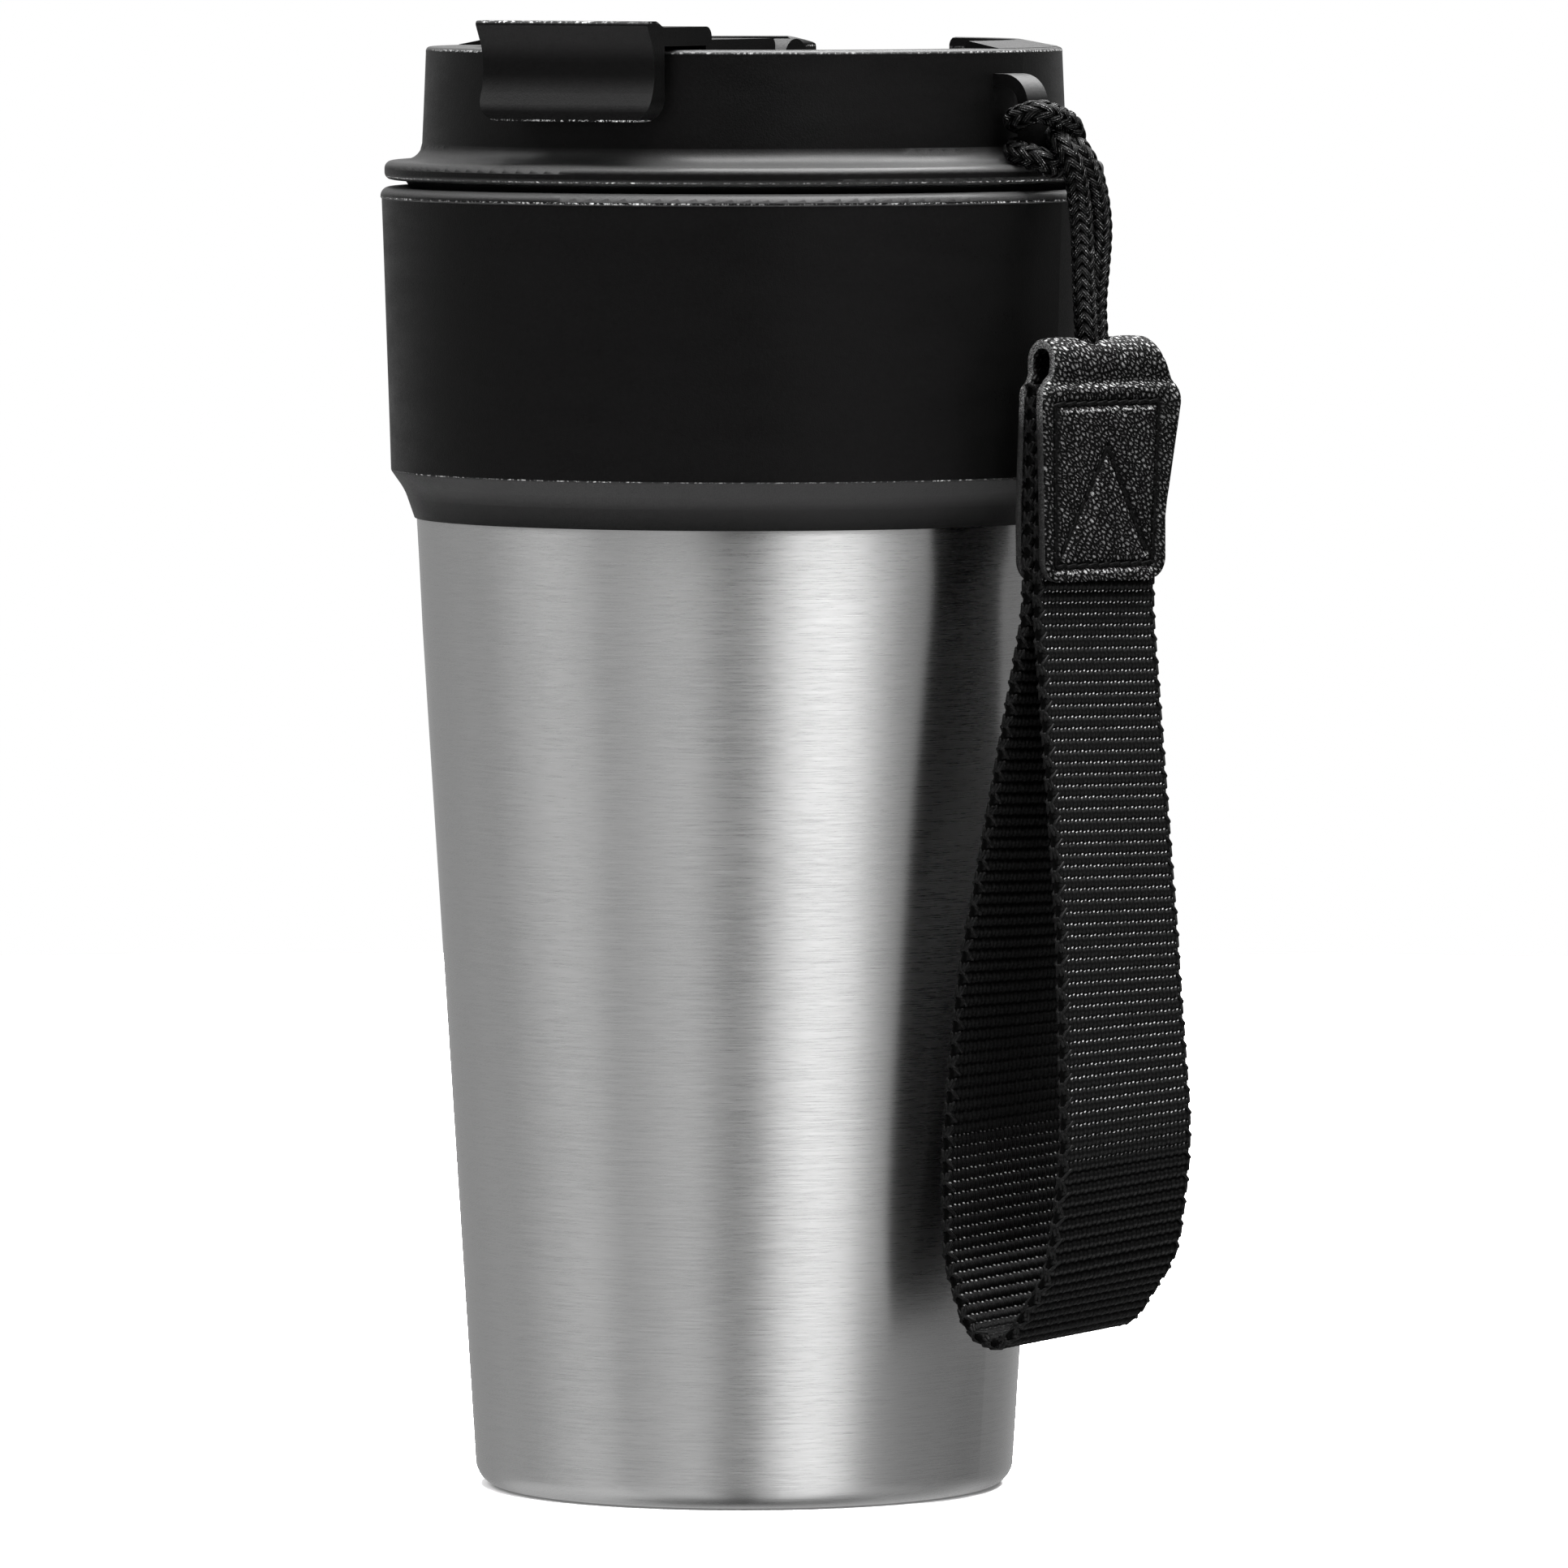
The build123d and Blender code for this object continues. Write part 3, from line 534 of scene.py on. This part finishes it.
class Batch:
    """Vertices, faces and UVs of several closed pieces collected into one mesh."""

    def __init__(self):
        self.verts, self.faces, self.uv, self.count = [], [], [], 0

    def loft(self, loops, uv=None, closed=False):
        """Skin over a stack of loops (steps, points, 3); open stacks get end caps."""
        steps, points = loops.shape[:2]
        base = self.count
        self.verts.append(loops.reshape(-1, 3))
        if uv is None:
            across = np.linspace(0, 1, points, endpoint=False)
            along = run_length(loops.mean(1))
            uv = np.stack(np.broadcast_arrays(across[None, :], along[:, None]), axis=2)
        self.uv.append(uv.reshape(-1, 2))
        rows = steps if closed else steps - 1
        i = (np.arange(rows)[:, None] * points + np.arange(points)[None, :])
        j = (np.arange(rows)[:, None] * points + (np.arange(points)[None, :] + 1) % points)
        up = points
        total = steps * points
        quads = np.stack([i, j, (j + up) % total, (i + up) % total], axis=2).reshape(-1, 4)
        caps = [] if closed else [np.arange(points)[::-1], (steps - 1) * points + np.arange(points)]
        flat = loops.reshape(-1, 3) - loops.reshape(-1, 3).mean(0)
        corners = flat[quads]
        volume = sum(np.einsum("ij,ij->i", corners[:, 0], np.cross(corners[:, k], corners[:, k + 1])).sum()
                     for k in (1, 2))
        turn = -1 if volume < 0 else 1
        self.faces += (quads[:, ::turn] + base).tolist()
        self.faces += [(cap[::turn] + base).tolist() for cap in caps]
        self.count += steps * points

    def build(self, name, materials, basis=None, **options):
        return add_mesh(name, np.concatenate(self.verts), self.faces, materials, basis,
                        uv=np.concatenate(self.uv), **options)


def capsule(batch, a, b, r, flat=1.0, up=(0, 0, 1), segments=8, rings=5):
    """Round-ended thread from a to b, flattened towards up."""
    a, b = np.array(a, float), np.array(b, float)
    axis = (b - a) / np.linalg.norm(b - a)
    up = np.array(up, float)
    up = up - axis * (up @ axis)
    up /= np.linalg.norm(up)
    side = np.cross(axis, up)
    angles = np.linspace(0, 2 * math.pi, segments, endpoint=False)
    circle = np.cos(angles)[:, None] * side + np.sin(angles)[:, None] * up * flat
    loops = []
    for k in range(rings + 1):
        lift = math.pi / 2 * k / rings
        loops.append(a - axis * r * math.cos(lift) + circle * r * max(math.sin(lift), 0.05))
    for k in range(rings + 1):
        lift = math.pi / 2 * (1 - k / rings)
        loops.append(b + axis * r * math.cos(lift) + circle * r * max(math.sin(lift), 0.05))
    batch.loft(np.array(loops))


# ---------------------------------------------------------------- cord
CORD_D = 2.8
CORE_R = CORD_D / 2 - 0.42
CARRIERS = 8              # bundles that wind each way
BRAID_PITCH = 11.0
BUNDLE_R = CORD_D / 2 - 0.22
BUNDLE_LIFT = 0.14        # how far a bundle rises and dips at its crossings
BUNDLE_WIDE, BUNDLE_THICK = 0.45, 0.19
FILAMENTS = 9             # lines round one bundle
# Control points as (out, along, height) in the lug's frame: from the tab's tunnel up the left strand, once
# round the lug's bar, over the strands, once more round the bar and down the right strand.
CORD_ROUTE = [
    (51.1, 0.8, 140.3), (51.2, 0.5, 142.2), (51.1, 0.5, 144.5), (50.5, 0.9, 149.0), (49.9, 1.6, 154.0),
    (49.4, 1.7, 158.0), (49.4, 1.1, 161.0), (49.3, 0.2, 163.6), (48.0, -0.3, 165.8), (46.1, 1.2, 166.7),
    (44.8, 4.1, 167.2), (41.6, 4.0, 167.9), (41.0, 0.0, 168.4), (43.1, -3.2, 168.8), (46.3, -2.9, 169.9),
    (47.0, -1.2, 169.4), (47.4, 0.8, 168.7), (47.5, 2.3, 168.1), (47.1, 3.7, 166.9), (46.5, 4.7, 165.0),
    (46.0, 4.8, 163.4), (46.3, 1.0, 162.9), (46.8, -1.8, 163.3), (46.4, -2.9, 164.2), (43.1, -3.2, 164.8),
    (41.0, 0.0, 165.2), (41.6, 4.0, 165.1), (44.2, 4.0, 165.2), (46.8, 2.7, 165.8), (48.8, 2.5, 165.0),
    (49.5, 3.0, 163.3), (50.0, 3.8, 161.2), (50.3, 4.3, 158.3), (50.5, 4.5, 155.3), (50.4, 4.1, 151.0),
    (50.3, 3.4, 146.0), (50.8, 3.3, 142.2), (50.9, 3.0, 140.3),
]


def cord_line():
    """Centreline of the cord in millimetres in the row frame, read from its NURBS spline."""
    curve = bpy.data.curves.new("cord_route", "CURVE")
    curve.dimensions = "3D"
    curve.resolution_u = 16
    spline = curve.splines.new("NURBS")
    points = place(CORD_ROUTE, LUG)
    spline.points.add(len(points) - 1)
    for point, at in zip(spline.points, points):
        point.co = (*at, 1)
    spline.order_u = 3
    spline.use_endpoint_u = True
    route = bpy.data.objects.new("cord_route", curve)
    bpy.context.scene.collection.objects.link(route)
    bpy.context.view_layer.update()
    line = bpy.data.meshes.new_from_object(route)
    found = np.array([v.co for v in line.vertices]) / MM
    bpy.data.objects.remove(route)
    bpy.data.meshes.remove(line)
    return resample(found, 0.16)


def braided_cord(material, core_material):
    """Core and braid of the cord, with the centreline and its length; half the bundles wind each way."""
    path = cord_line()
    run = run_length(path)
    core = Batch()
    core.loft(tube_loops(path, CORE_R, 14))
    tube = core.build("cord_core", [core_material])
    sides, ups = frames_along(path)
    section = np.linspace(0, 2 * math.pi, 10, endpoint=False)
    weave, lit = Batch(), []
    for hand in (1, -1):
        for i in range(CARRIERS):
            turn = 2 * math.pi * (i / CARRIERS + hand * run / BRAID_PITCH)
            over = hand * np.cos(CARRIERS / 2 * turn)
            out = np.cos(turn)[:, None] * sides + np.sin(turn)[:, None] * ups
            centre = path + out * (BUNDLE_R + BUNDLE_LIFT * over)[:, None]
            heading = np.gradient(centre, axis=0)
            heading /= np.linalg.norm(heading, axis=1)[:, None]
            across = np.cross(heading, out)
            across /= np.linalg.norm(across, axis=1)[:, None]
            loop = (across[:, None] * (np.cos(section) * BUNDLE_WIDE)[None, :, None]
                    + out[:, None] * (np.sin(section) * BUNDLE_THICK)[None, :, None])
            weave.loft(centre[:, None] + loop)
            # lit: painted shade on a bundle where it passes under, none where it passes over
            lit.append(np.repeat(0.5 + 0.5 * over, len(section)))
    braid = weave.build("cord_braid", [material], lit=np.concatenate(lit))
    return tube, braid, path, run[-1]


def cord_binding(material):
    """Both cord ends inside the tab's tunnel, with thread wound side by side round them."""
    turns, low_z, high_z = 7, 138.1, 139.9
    out, along = 51.0, 1.85
    angles = np.linspace(0, 2 * math.pi * turns, 24 * turns)
    path = np.stack([out + 1.42 * np.cos(angles), along + 2.4 * np.sin(angles),
                     low_z + (high_z - low_z) * angles / angles[-1]], axis=1)
    batch = Batch()
    batch.loft(tube_loops(path, 0.13, 8))
    for end in (0.85, 2.9):
        capsule(batch, (out, end, 138.3), (out, end, 140.2), 1.34, up=(1, 0, 0), segments=16)
    return batch.build("cord_end_binding", [material], LUG)


# ---------------------------------------------------------------- leather tab
FOLD_N = 50.0
FOLD_U = 9.3
TAB_LOW_Z = 113.0
TAB_HIGH_Z = 142.45
TAB_HALF = 3.1            # half the thickness of the folded tab at its seam
TUNNEL = 2.1              # bend radius of the fold, at the middle of the leather
LEAF = 1.2                # thickness of the leather
SKIN_COLUMNS, LINING_COLUMNS = 96, 24
# SHADE_HALF is the half width of the painted shade in a groove, LIP_HALF that of the painted highlight on its
# lower lip.
GROOVE_DEPTH, GROOVE_HALF, SHADE_HALF, LIP_HALF = 0.42, 0.42, 0.58, 0.2
# Corners of the seam as (along from the tab's middle, height).
SEAM_BOX = [(-9.0, 114.9), (-9.1, 134.5), (9.0, 134.5), (7.8, 114.9)]
SEAM_PEAK = [(-7.9, 116.6), (0.0, 129.2), (6.6, 116.6)]


def seam_runs():
    box = list(zip(SEAM_BOX, SEAM_BOX[1:] + SEAM_BOX[:1]))
    return box + list(zip(SEAM_PEAK, SEAM_PEAK[1:]))


def distance_to_seam(u, z):
    """Least distance from each (u, z) to the seam's runs."""
    best = np.full(np.shape(u), 1e9)
    for (u0, z0), (u1, z1) in seam_runs():
        du, dz = u1 - u0, z1 - z0
        t = np.clip(((u - u0) * du + (z - z0) * dz) / (du * du + dz * dz), 0, 1)
        best = np.minimum(best, np.hypot(u - u0 - t * du, z - z0 - t * dz))
    return best


def leaf_edges(z, front):
    """Left and right edge of a leaf at a height, measured from the tab's middle."""
    if front:
        left = np.interp(z, [113, 121, 134.6, 136.2, 138.0, 142.5], [-10.8, -11.0, -11.4, -11.0, -8.9, -8.4])
        right = np.interp(z, [113, 120.5, 122.5, 134.2, 135.6, 142.5], [10.2, 10.2, 10.5, 12.9, 12.9, 8.7])
    else:
        left = np.interp(z, [113, 121, 134.2, 136.4, 138.2, 142.5], [-10.0, -10.1, -9.6, -9.4, -8.4, -8.4])
        right = np.interp(z, [113, 121, 134.2, 135.6, 142.5], [10.4, 10.4, 11.6, 11.8, 8.7])
    return left, right


def corner_cut(z, r):
    """How far a rounded lower corner pulls an edge in at a height."""
    d = np.clip(z - TAB_LOW_Z, 0, r)
    return r - np.sqrt(np.maximum(r * r - (r - d) ** 2, 0))


def tab_line():
    """Middle of the leather as (out, height), from end to end over the fold, and its outward side."""
    half, crown = TAB_HALF - LEAF / 2, TAB_HIGH_Z - LEAF / 2 - TUNNEL
    side = [(half, TAB_LOW_Z), (half, 135.0, 2.5), (TUNNEL - 0.25, 137.0, 2.5), (TUNNEL + 0.1, 138.9, 3),
            (TUNNEL, crown)]
    rise = fillet_path(side, 0.24)
    arc = [(TUNNEL * math.cos(a), crown + TUNNEL * math.sin(a)) for a in np.linspace(0, math.pi, 26)[1:-1]]
    line = resample(np.concatenate([rise, arc, rise[::-1] * np.array([-1, 1])]), 0.22)
    heading = np.gradient(line, axis=0)
    heading /= np.linalg.norm(heading, axis=1)[:, None]
    return line, np.stack([heading[:, 1], -heading[:, 0]], axis=1)


def leather_tab(material, edge_material):
    """Folded skin with pressed seam grooves; lit, a painted shade and highlight, is below 1 in a groove and
    above 1 on its lower lip.
    """
    line, outward = tab_line()
    run = run_length(line)
    loops, uvs, lit = [], [], []
    for (n, z), normal, along in zip(line, outward, run):
        mix = np.clip(0.5 + n / (2 * TUNNEL), 0, 1)
        (fl, fr), (bl, br) = leaf_edges(z, True), leaf_edges(z, False)
        pull = corner_cut(z, 2.6)
        low = bl + (fl - bl) * mix + pull
        high = br + (fr - br) * mix - pull
        u = np.linspace(low, high, SKIN_COLUMNS)
        depth, shade = np.full(SKIN_COLUMNS, LEAF / 2), np.ones(SKIN_COLUMNS)
        if abs(n) > TUNNEL + 0.2 or z < 136.4:
            near = distance_to_seam(u, np.full(SKIN_COLUMNS, z))
            under = distance_to_seam(u, np.full(SKIN_COLUMNS, z + 0.75))
            depth -= GROOVE_DEPTH * np.exp(-(near / GROOVE_HALF) ** 2)
            depth += 0.10 * np.clip((near - 0.6) / 2.0, 0, 1) * (near < 6)
            # painted shade in the groove and painted highlight on its lower lip
            shade = (1 - 0.97 * np.exp(-(near / SHADE_HALF) ** 4)
                     + np.exp(-(under / LIP_HALF) ** 2) * (near > 0.5))
        depth += 0.32 * math.exp(-((z - 135.9) / 0.7) ** 2) * (1 - (np.abs(u) / 12) ** 4)
        depth += 0.05 * np.sin(u * 1.1 + z * 0.23) * math.exp(-((z - 141.2) / 1.6) ** 2)
        rounding = np.clip((np.minimum(u - low, high - u)) / 0.55, 0, 1)
        depth -= 0.28 * (1 - rounding) ** 2
        outer = np.stack([n + normal[0] * depth, u, z + normal[1] * depth], axis=1)
        v = np.linspace(high, low, LINING_COLUMNS)
        flat = np.ones(LINING_COLUMNS)
        inner = np.stack([flat * (n - normal[0] * LEAF / 2), v, flat * (z - normal[1] * LEAF / 2)], axis=1)
        loops.append(np.concatenate([outer, inner]))
        lit.append(np.concatenate([shade, flat * 0.3]))
        across = np.concatenate([u, v])
        uvs.append(np.stack([across, np.full(len(across), along)], axis=1))
    loops = np.array(loops) + np.array([FOLD_N, FOLD_U, 0])
    batch = Batch()
    batch.loft(loops, np.array(uvs))
    points = loops.shape[1]
    cut_edges = {SKIN_COLUMNS - 1, points - 1}
    slots = [1 if i % points in cut_edges else 0 for i in range((len(loops) - 1) * points)] + [1, 1]
    return batch.build("leather_tab_skin", [material, edge_material], STRAP, slots=slots,
                       lit=np.concatenate(lit))


def cut_slot(obj, centre, length, width, angle, low, high):
    """Cuts an upright slot through a mesh; the slot's middle is in the row frame, in millimetres."""
    angles = np.linspace(0, 2 * math.pi, 32, endpoint=False)
    x = np.cos(angles) * width / 2 + np.sign(np.cos(angles)) * (length - width) / 2
    y = np.sin(angles) * width / 2
    c, s = math.cos(angle), math.sin(angle)
    ring = np.stack([centre[0] + x * c - y * s, centre[1] + x * s + y * c], axis=1)
    loops = np.array([np.column_stack([ring, np.full(32, z)]) for z in (low, high)])
    batch = Batch()
    batch.loft(loops)
    cutter = batch.build("slot_cutter", [])
    modifier = obj.modifiers.new("slot", "BOOLEAN")
    modifier.operation = "DIFFERENCE"
    modifier.solver = "EXACT"
    modifier.object = cutter
    bpy.context.view_layer.update()
    graph = bpy.context.evaluated_depsgraph_get()
    cut = bpy.data.meshes.new_from_object(obj.evaluated_get(graph))
    obj.modifiers.clear()
    obj.data = cut
    bpy.data.objects.remove(cutter)


def tab_stitches(material):
    """Lock stitches that lie in the grooves of both leaves, each a little aslant."""
    batch = Batch()
    face = TAB_HALF - 0.3
    for side in (1, -1):
        for (u0, z0), (u1, z1) in seam_runs():
            run = math.hypot(u1 - u0, z1 - z0)
            count = max(1, int(round(run / 1.85)))
            across = np.array([0, -(z1 - z0), u1 - u0]) / run * 0.1 * side
            for i in range(count):
                ends = []
                for t, s in (((i + 0.12) / count, -1), ((i + 0.88) / count, 1)):
                    at = np.array([FOLD_N + side * face, FOLD_U + u0 + (u1 - u0) * t, z0 + (z1 - z0) * t])
                    ends.append(at + across * s)
                capsule(batch, *ends, 0.33, 0.85, up=(side, 0, 0))
    return batch.build("seam_threads", [material], STRAP)


# ---------------------------------------------------------------- webbing
WEB = 1.6
WEB_WIDTH = 20.0
ROW = 1.39                # length of one rib of the weave
COLUMN = 0.667            # width of one warp yarn
STAGGER = 0.07            # how far every second yarn's ribs are shifted, in rows
STATIONS = 8              # cross-sections for each rib
SAMPLES = 4               # points across each yarn
WEB_ROUTE = [
    (49.1, 136.6), (49.1, 109.0, 25), (39.4, 64.0, 90), (38.3, 44.0, 50), (39.2, 31.0, 12), (43.0, 22.6, 5),
    (48.6, 20.7, 4.5), (56.2, 30.2, 10), (58.4, 44.0, 50), (55.8, 72.0, 120), (50.9, 109.5, 40), (50.9, 136.6),
]
WEB_LEAN = math.radians(-1.6)
LEAN_Z = 124.0            # the loop leans about this height
FOOT_HIGH_Z, FOOT_REACH = 80.0, 50.0
WEB_SAG = 0.118           # how much the loop's foot drops towards its near edge
WEB_TWIST = 0.115         # and turns out towards its far edge


def lean(points):
    """Tilts strap-frame points about the line where the loop leaves the tab, and twists the loop's foot."""
    u, z = points[..., 1] - FOLD_U, points[..., 2] - LEAN_Z
    low = np.clip((FOOT_HIGH_Z - points[..., 2]) / FOOT_REACH, 0, 1)
    low = low * low * (3 - 2 * low)
    c, s = math.cos(WEB_LEAN), math.sin(WEB_LEAN)
    out = points.copy()
    out[..., 0] = points[..., 0] + WEB_TWIST * low * u
    out[..., 1] = FOLD_U + u * c - z * s
    out[..., 2] = LEAN_Z + u * s + z * c + WEB_SAG * low * u
    return out


def webbing_frames():
    """Middle of the band as (out, height), its outward side and the run, with STATIONS points for each rib."""
    line = fillet_path(WEB_ROUTE, ROW / STATIONS)
    heading = np.gradient(line, axis=0)
    heading /= np.linalg.norm(heading, axis=1)[:, None]
    outward = np.stack([-heading[:, 1], heading[:, 0]], axis=1)
    return line, outward, run_length(line)


def webbing(material):
    """Ribbed band: each warp yarn floats over one rib and dips at the join, every second one a little later."""
    line, outward, run = webbing_frames()
    columns = int(round(WEB_WIDTH / COLUMN))
    across = np.linspace(-WEB_WIDTH / 2, WEB_WIDTH / 2, columns * SAMPLES + 1)
    place_in = (across + WEB_WIDTH / 2) / COLUMN
    yarn = np.abs(np.sin(math.pi * place_in)) ** 0.6
    late = STAGGER * (np.floor(place_in % 2 + 1e-6) % 2)
    edge = np.clip((WEB_WIDTH / 2 - np.abs(across)) / 0.5, 0, 1)
    rows = run[:, None] / ROW + late[None, :]
    rims, lit = [], []
    for face, offset in ((1, 0.0), (-1, 0.5)):
        fraction = (rows + offset) % 1
        float_over = np.clip(np.sin(math.pi * fraction), 0, 1) ** 0.5
        lift = WEB / 2 - 0.4 + 0.3 * float_over + 0.12 * yarn * (0.4 + 0.6 * float_over)
        lift = lift * (0.6 + 0.4 * edge)
        n = line[:, :1] + face * outward[:, :1] * lift
        z = line[:, 1:] + face * outward[:, 1:] * lift
        u = np.broadcast_to(FOLD_U + across, n.shape)
        rims.append(np.stack([n, u, z], axis=2))
        up = face * outward[:, 1:]
        # lit: high where this face of the band turns up, so the painted glints show only there
        glow = np.clip(up * 7 + 0.4, 0, 1) * np.clip(1.95 - up * 2.2, 0.1, 1)
        lit.append(np.broadcast_to(glow, n.shape))
    loops = np.concatenate([rims[0], rims[1][:, ::-1]], axis=1)
    far = np.broadcast_to(across + WEB_WIDTH / 2, rows.shape)
    front, back = (np.stack([far, np.broadcast_to(run[:, None] + late_by, far.shape)], axis=2)
                   for late_by in (0, ROW / 2))
    uvs = np.concatenate([front, back[:, ::-1]], axis=1)
    batch = Batch()
    batch.loft(lean(loops), uvs)
    lit = np.concatenate([lit[0], lit[1][:, ::-1]], axis=1).ravel()
    return batch.build("webbing_band", [material], STRAP, lit=lit)


def webbing_selvedge(material):
    """Weft loops that wrap both edges of the band, one for every two ribs, with a slanting stitch between."""
    line, outward, run = webbing_frames()
    batch = Batch()

    def spot(row, depth, out, side):
        k = min(len(line) - 1, max(0, int(round(row * STATIONS))))
        n, z = line[k] + outward[k] * depth
        return np.array([n, FOLD_U + side * (WEB_WIDTH / 2 + out), z])

    for side in (-1, 1):
        for i in range(int(run[-1] / ROW / 2)):
            row = 2 * i
            for face in (-1, 1):
                top = face * (WEB / 2 - 0.12)
                runs = [((row + 0.1, top * 0.8, 0.02), (row + 0.8, top, -0.75)),
                        ((row + 0.1, top * 0.8, 0.02), (row - 0.3, 0.0, 0.12)),
                        ((row + 1.1, top * 0.95, -0.25), (row + 1.9, top * 0.5, 0.04)),
                        ((row + 1.3, top * 0.5, 0.06), (row + 2.0, 0.0, 0.1))]
                for a, b in runs:
                    ends = np.array([spot(*a, side), spot(*b, side)])
                    capsule(batch, *lean(ends), 0.24, 0.9, up=(0, side, 0), segments=6, rings=2)
    return batch.build("webbing_selvedge", [material], STRAP)


add_camera()
add_world()
add_floor()
area_light("key", (0.99, -0.48, 1.3), (0, 0, 0.1), 0.8, 20)
area_light("fill", (-0.9, -0.5, 1.1), (0, 0, 0.1), 0.8, 14)
area_light("top", (0.2, 0.05, 1.35), (0, 0, 0.1), 1.3, 190)
area_light("back", (0.05, 0.75, 1.2), (0, 0, 0.15), 0.8, 30)

# Heights and half widths of the pale flash lines.
COLLAR_LINES = [(158.8, 0.14), (125.3, 0.08)]
LID_LINES = [(176.85, 0.14), (161.3, 0.1)]
FLAP_LINES = [(180.6, 0.16), (168.75, 0.14)]
silicone = simple_soft("seal_silicone", (0.24, 0.24, 0.235), (0.32, 0.32, 0.31), 0.5)
looks = {
    "outer_shell": brushed_steel("shell_steel", 0.5),
    "inner_liner": brushed_steel("liner_steel", 0.62, 0.25),
    "base_cap": brushed_steel("base_steel", 0.55, 0.35),
    "hinge_pin": brushed_steel("pin_steel", 0.6, 0.2),
    "collar": moulded_plastic("collar_plastic", 0.0008, edge_heights=COLLAR_LINES, painted_light=0.024),
    "lid_body": moulded_plastic("lid_plastic", 0.0008, edge_heights=LID_LINES, painted_light=0.022),
    "flap": moulded_plastic("flap_plastic", 0.0008, edge_heights=FLAP_LINES, painted_light=0.008),
    "lid_inner": moulded_plastic("inner_plastic", 0.02, 0.5),
    "lid_seal": silicone, "sip_plug": silicone, "vent_plug": silicone,
    "neck_seal": simple_soft("neck_silicone", (0.02,) * 3, (0.03,) * 3, 0.6),
    "getter": simple_soft("getter_metal", (0.3,) * 3, (0.4,) * 3, 0.6),
    "vacuum_plug": simple_soft("solder_glass", (0.25,) * 3, (0.35,) * 3, 0.15),
}
for name, material in looks.items():
    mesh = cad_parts[name].data
    mesh.materials.clear()
    mesh.materials.append(material)

cord_black = braided_nylon("cord_braid", 0.0007)
cord_dark = simple_soft("cord_core", (0.0005,) * 3, (0.001,) * 3, 0.9, gloss=0.02)
leather = pebbled_leather("tab_leather", 0.0015)
leather_edge = cut_leather("tab_leather_edge", 0.03)
web_black = woven_nylon("strap_webbing", 0.0008)
selvedge_black = simple_soft("strap_selvedge", (0.0005,) * 3, (0.004,) * 3, 0.4, gloss=0.03)
thread = simple_soft("seam_thread", (0.0002,) * 3, (0.002,) * 3, 0.35, scale=2.5, gloss=0.02)

tube, braid, cord_path, cord_length = braided_cord(cord_black, cord_dark)
for piece in (tube, braid):
    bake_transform(piece)
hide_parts("cord_left_strand", "cord_right_strand", "cord_hitch")
binding = cord_binding(thread)
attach(binding, "strap")
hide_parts("cord_end_whipping")

tab = leather_tab(leather, leather_edge)
hole = place([(50.8, 1.9, 0)], LUG)[0] / MM
cut_slot(tab, hole[:2], 6.2, 3.0, LUG_AZ + math.pi / 2, 139.5, 144.0)
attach(tab, "strap")
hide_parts("leather_tab")
stitches = tab_stitches(thread)
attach(stitches, "strap")
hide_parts("tab_stitching")
band = webbing(web_black)
edge = webbing_selvedge(selvedge_black)
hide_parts("webbing_loop")
for piece in (band, edge):
    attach(piece, "strap")

bpy.context.scene.view_settings.view_transform = "Standard"
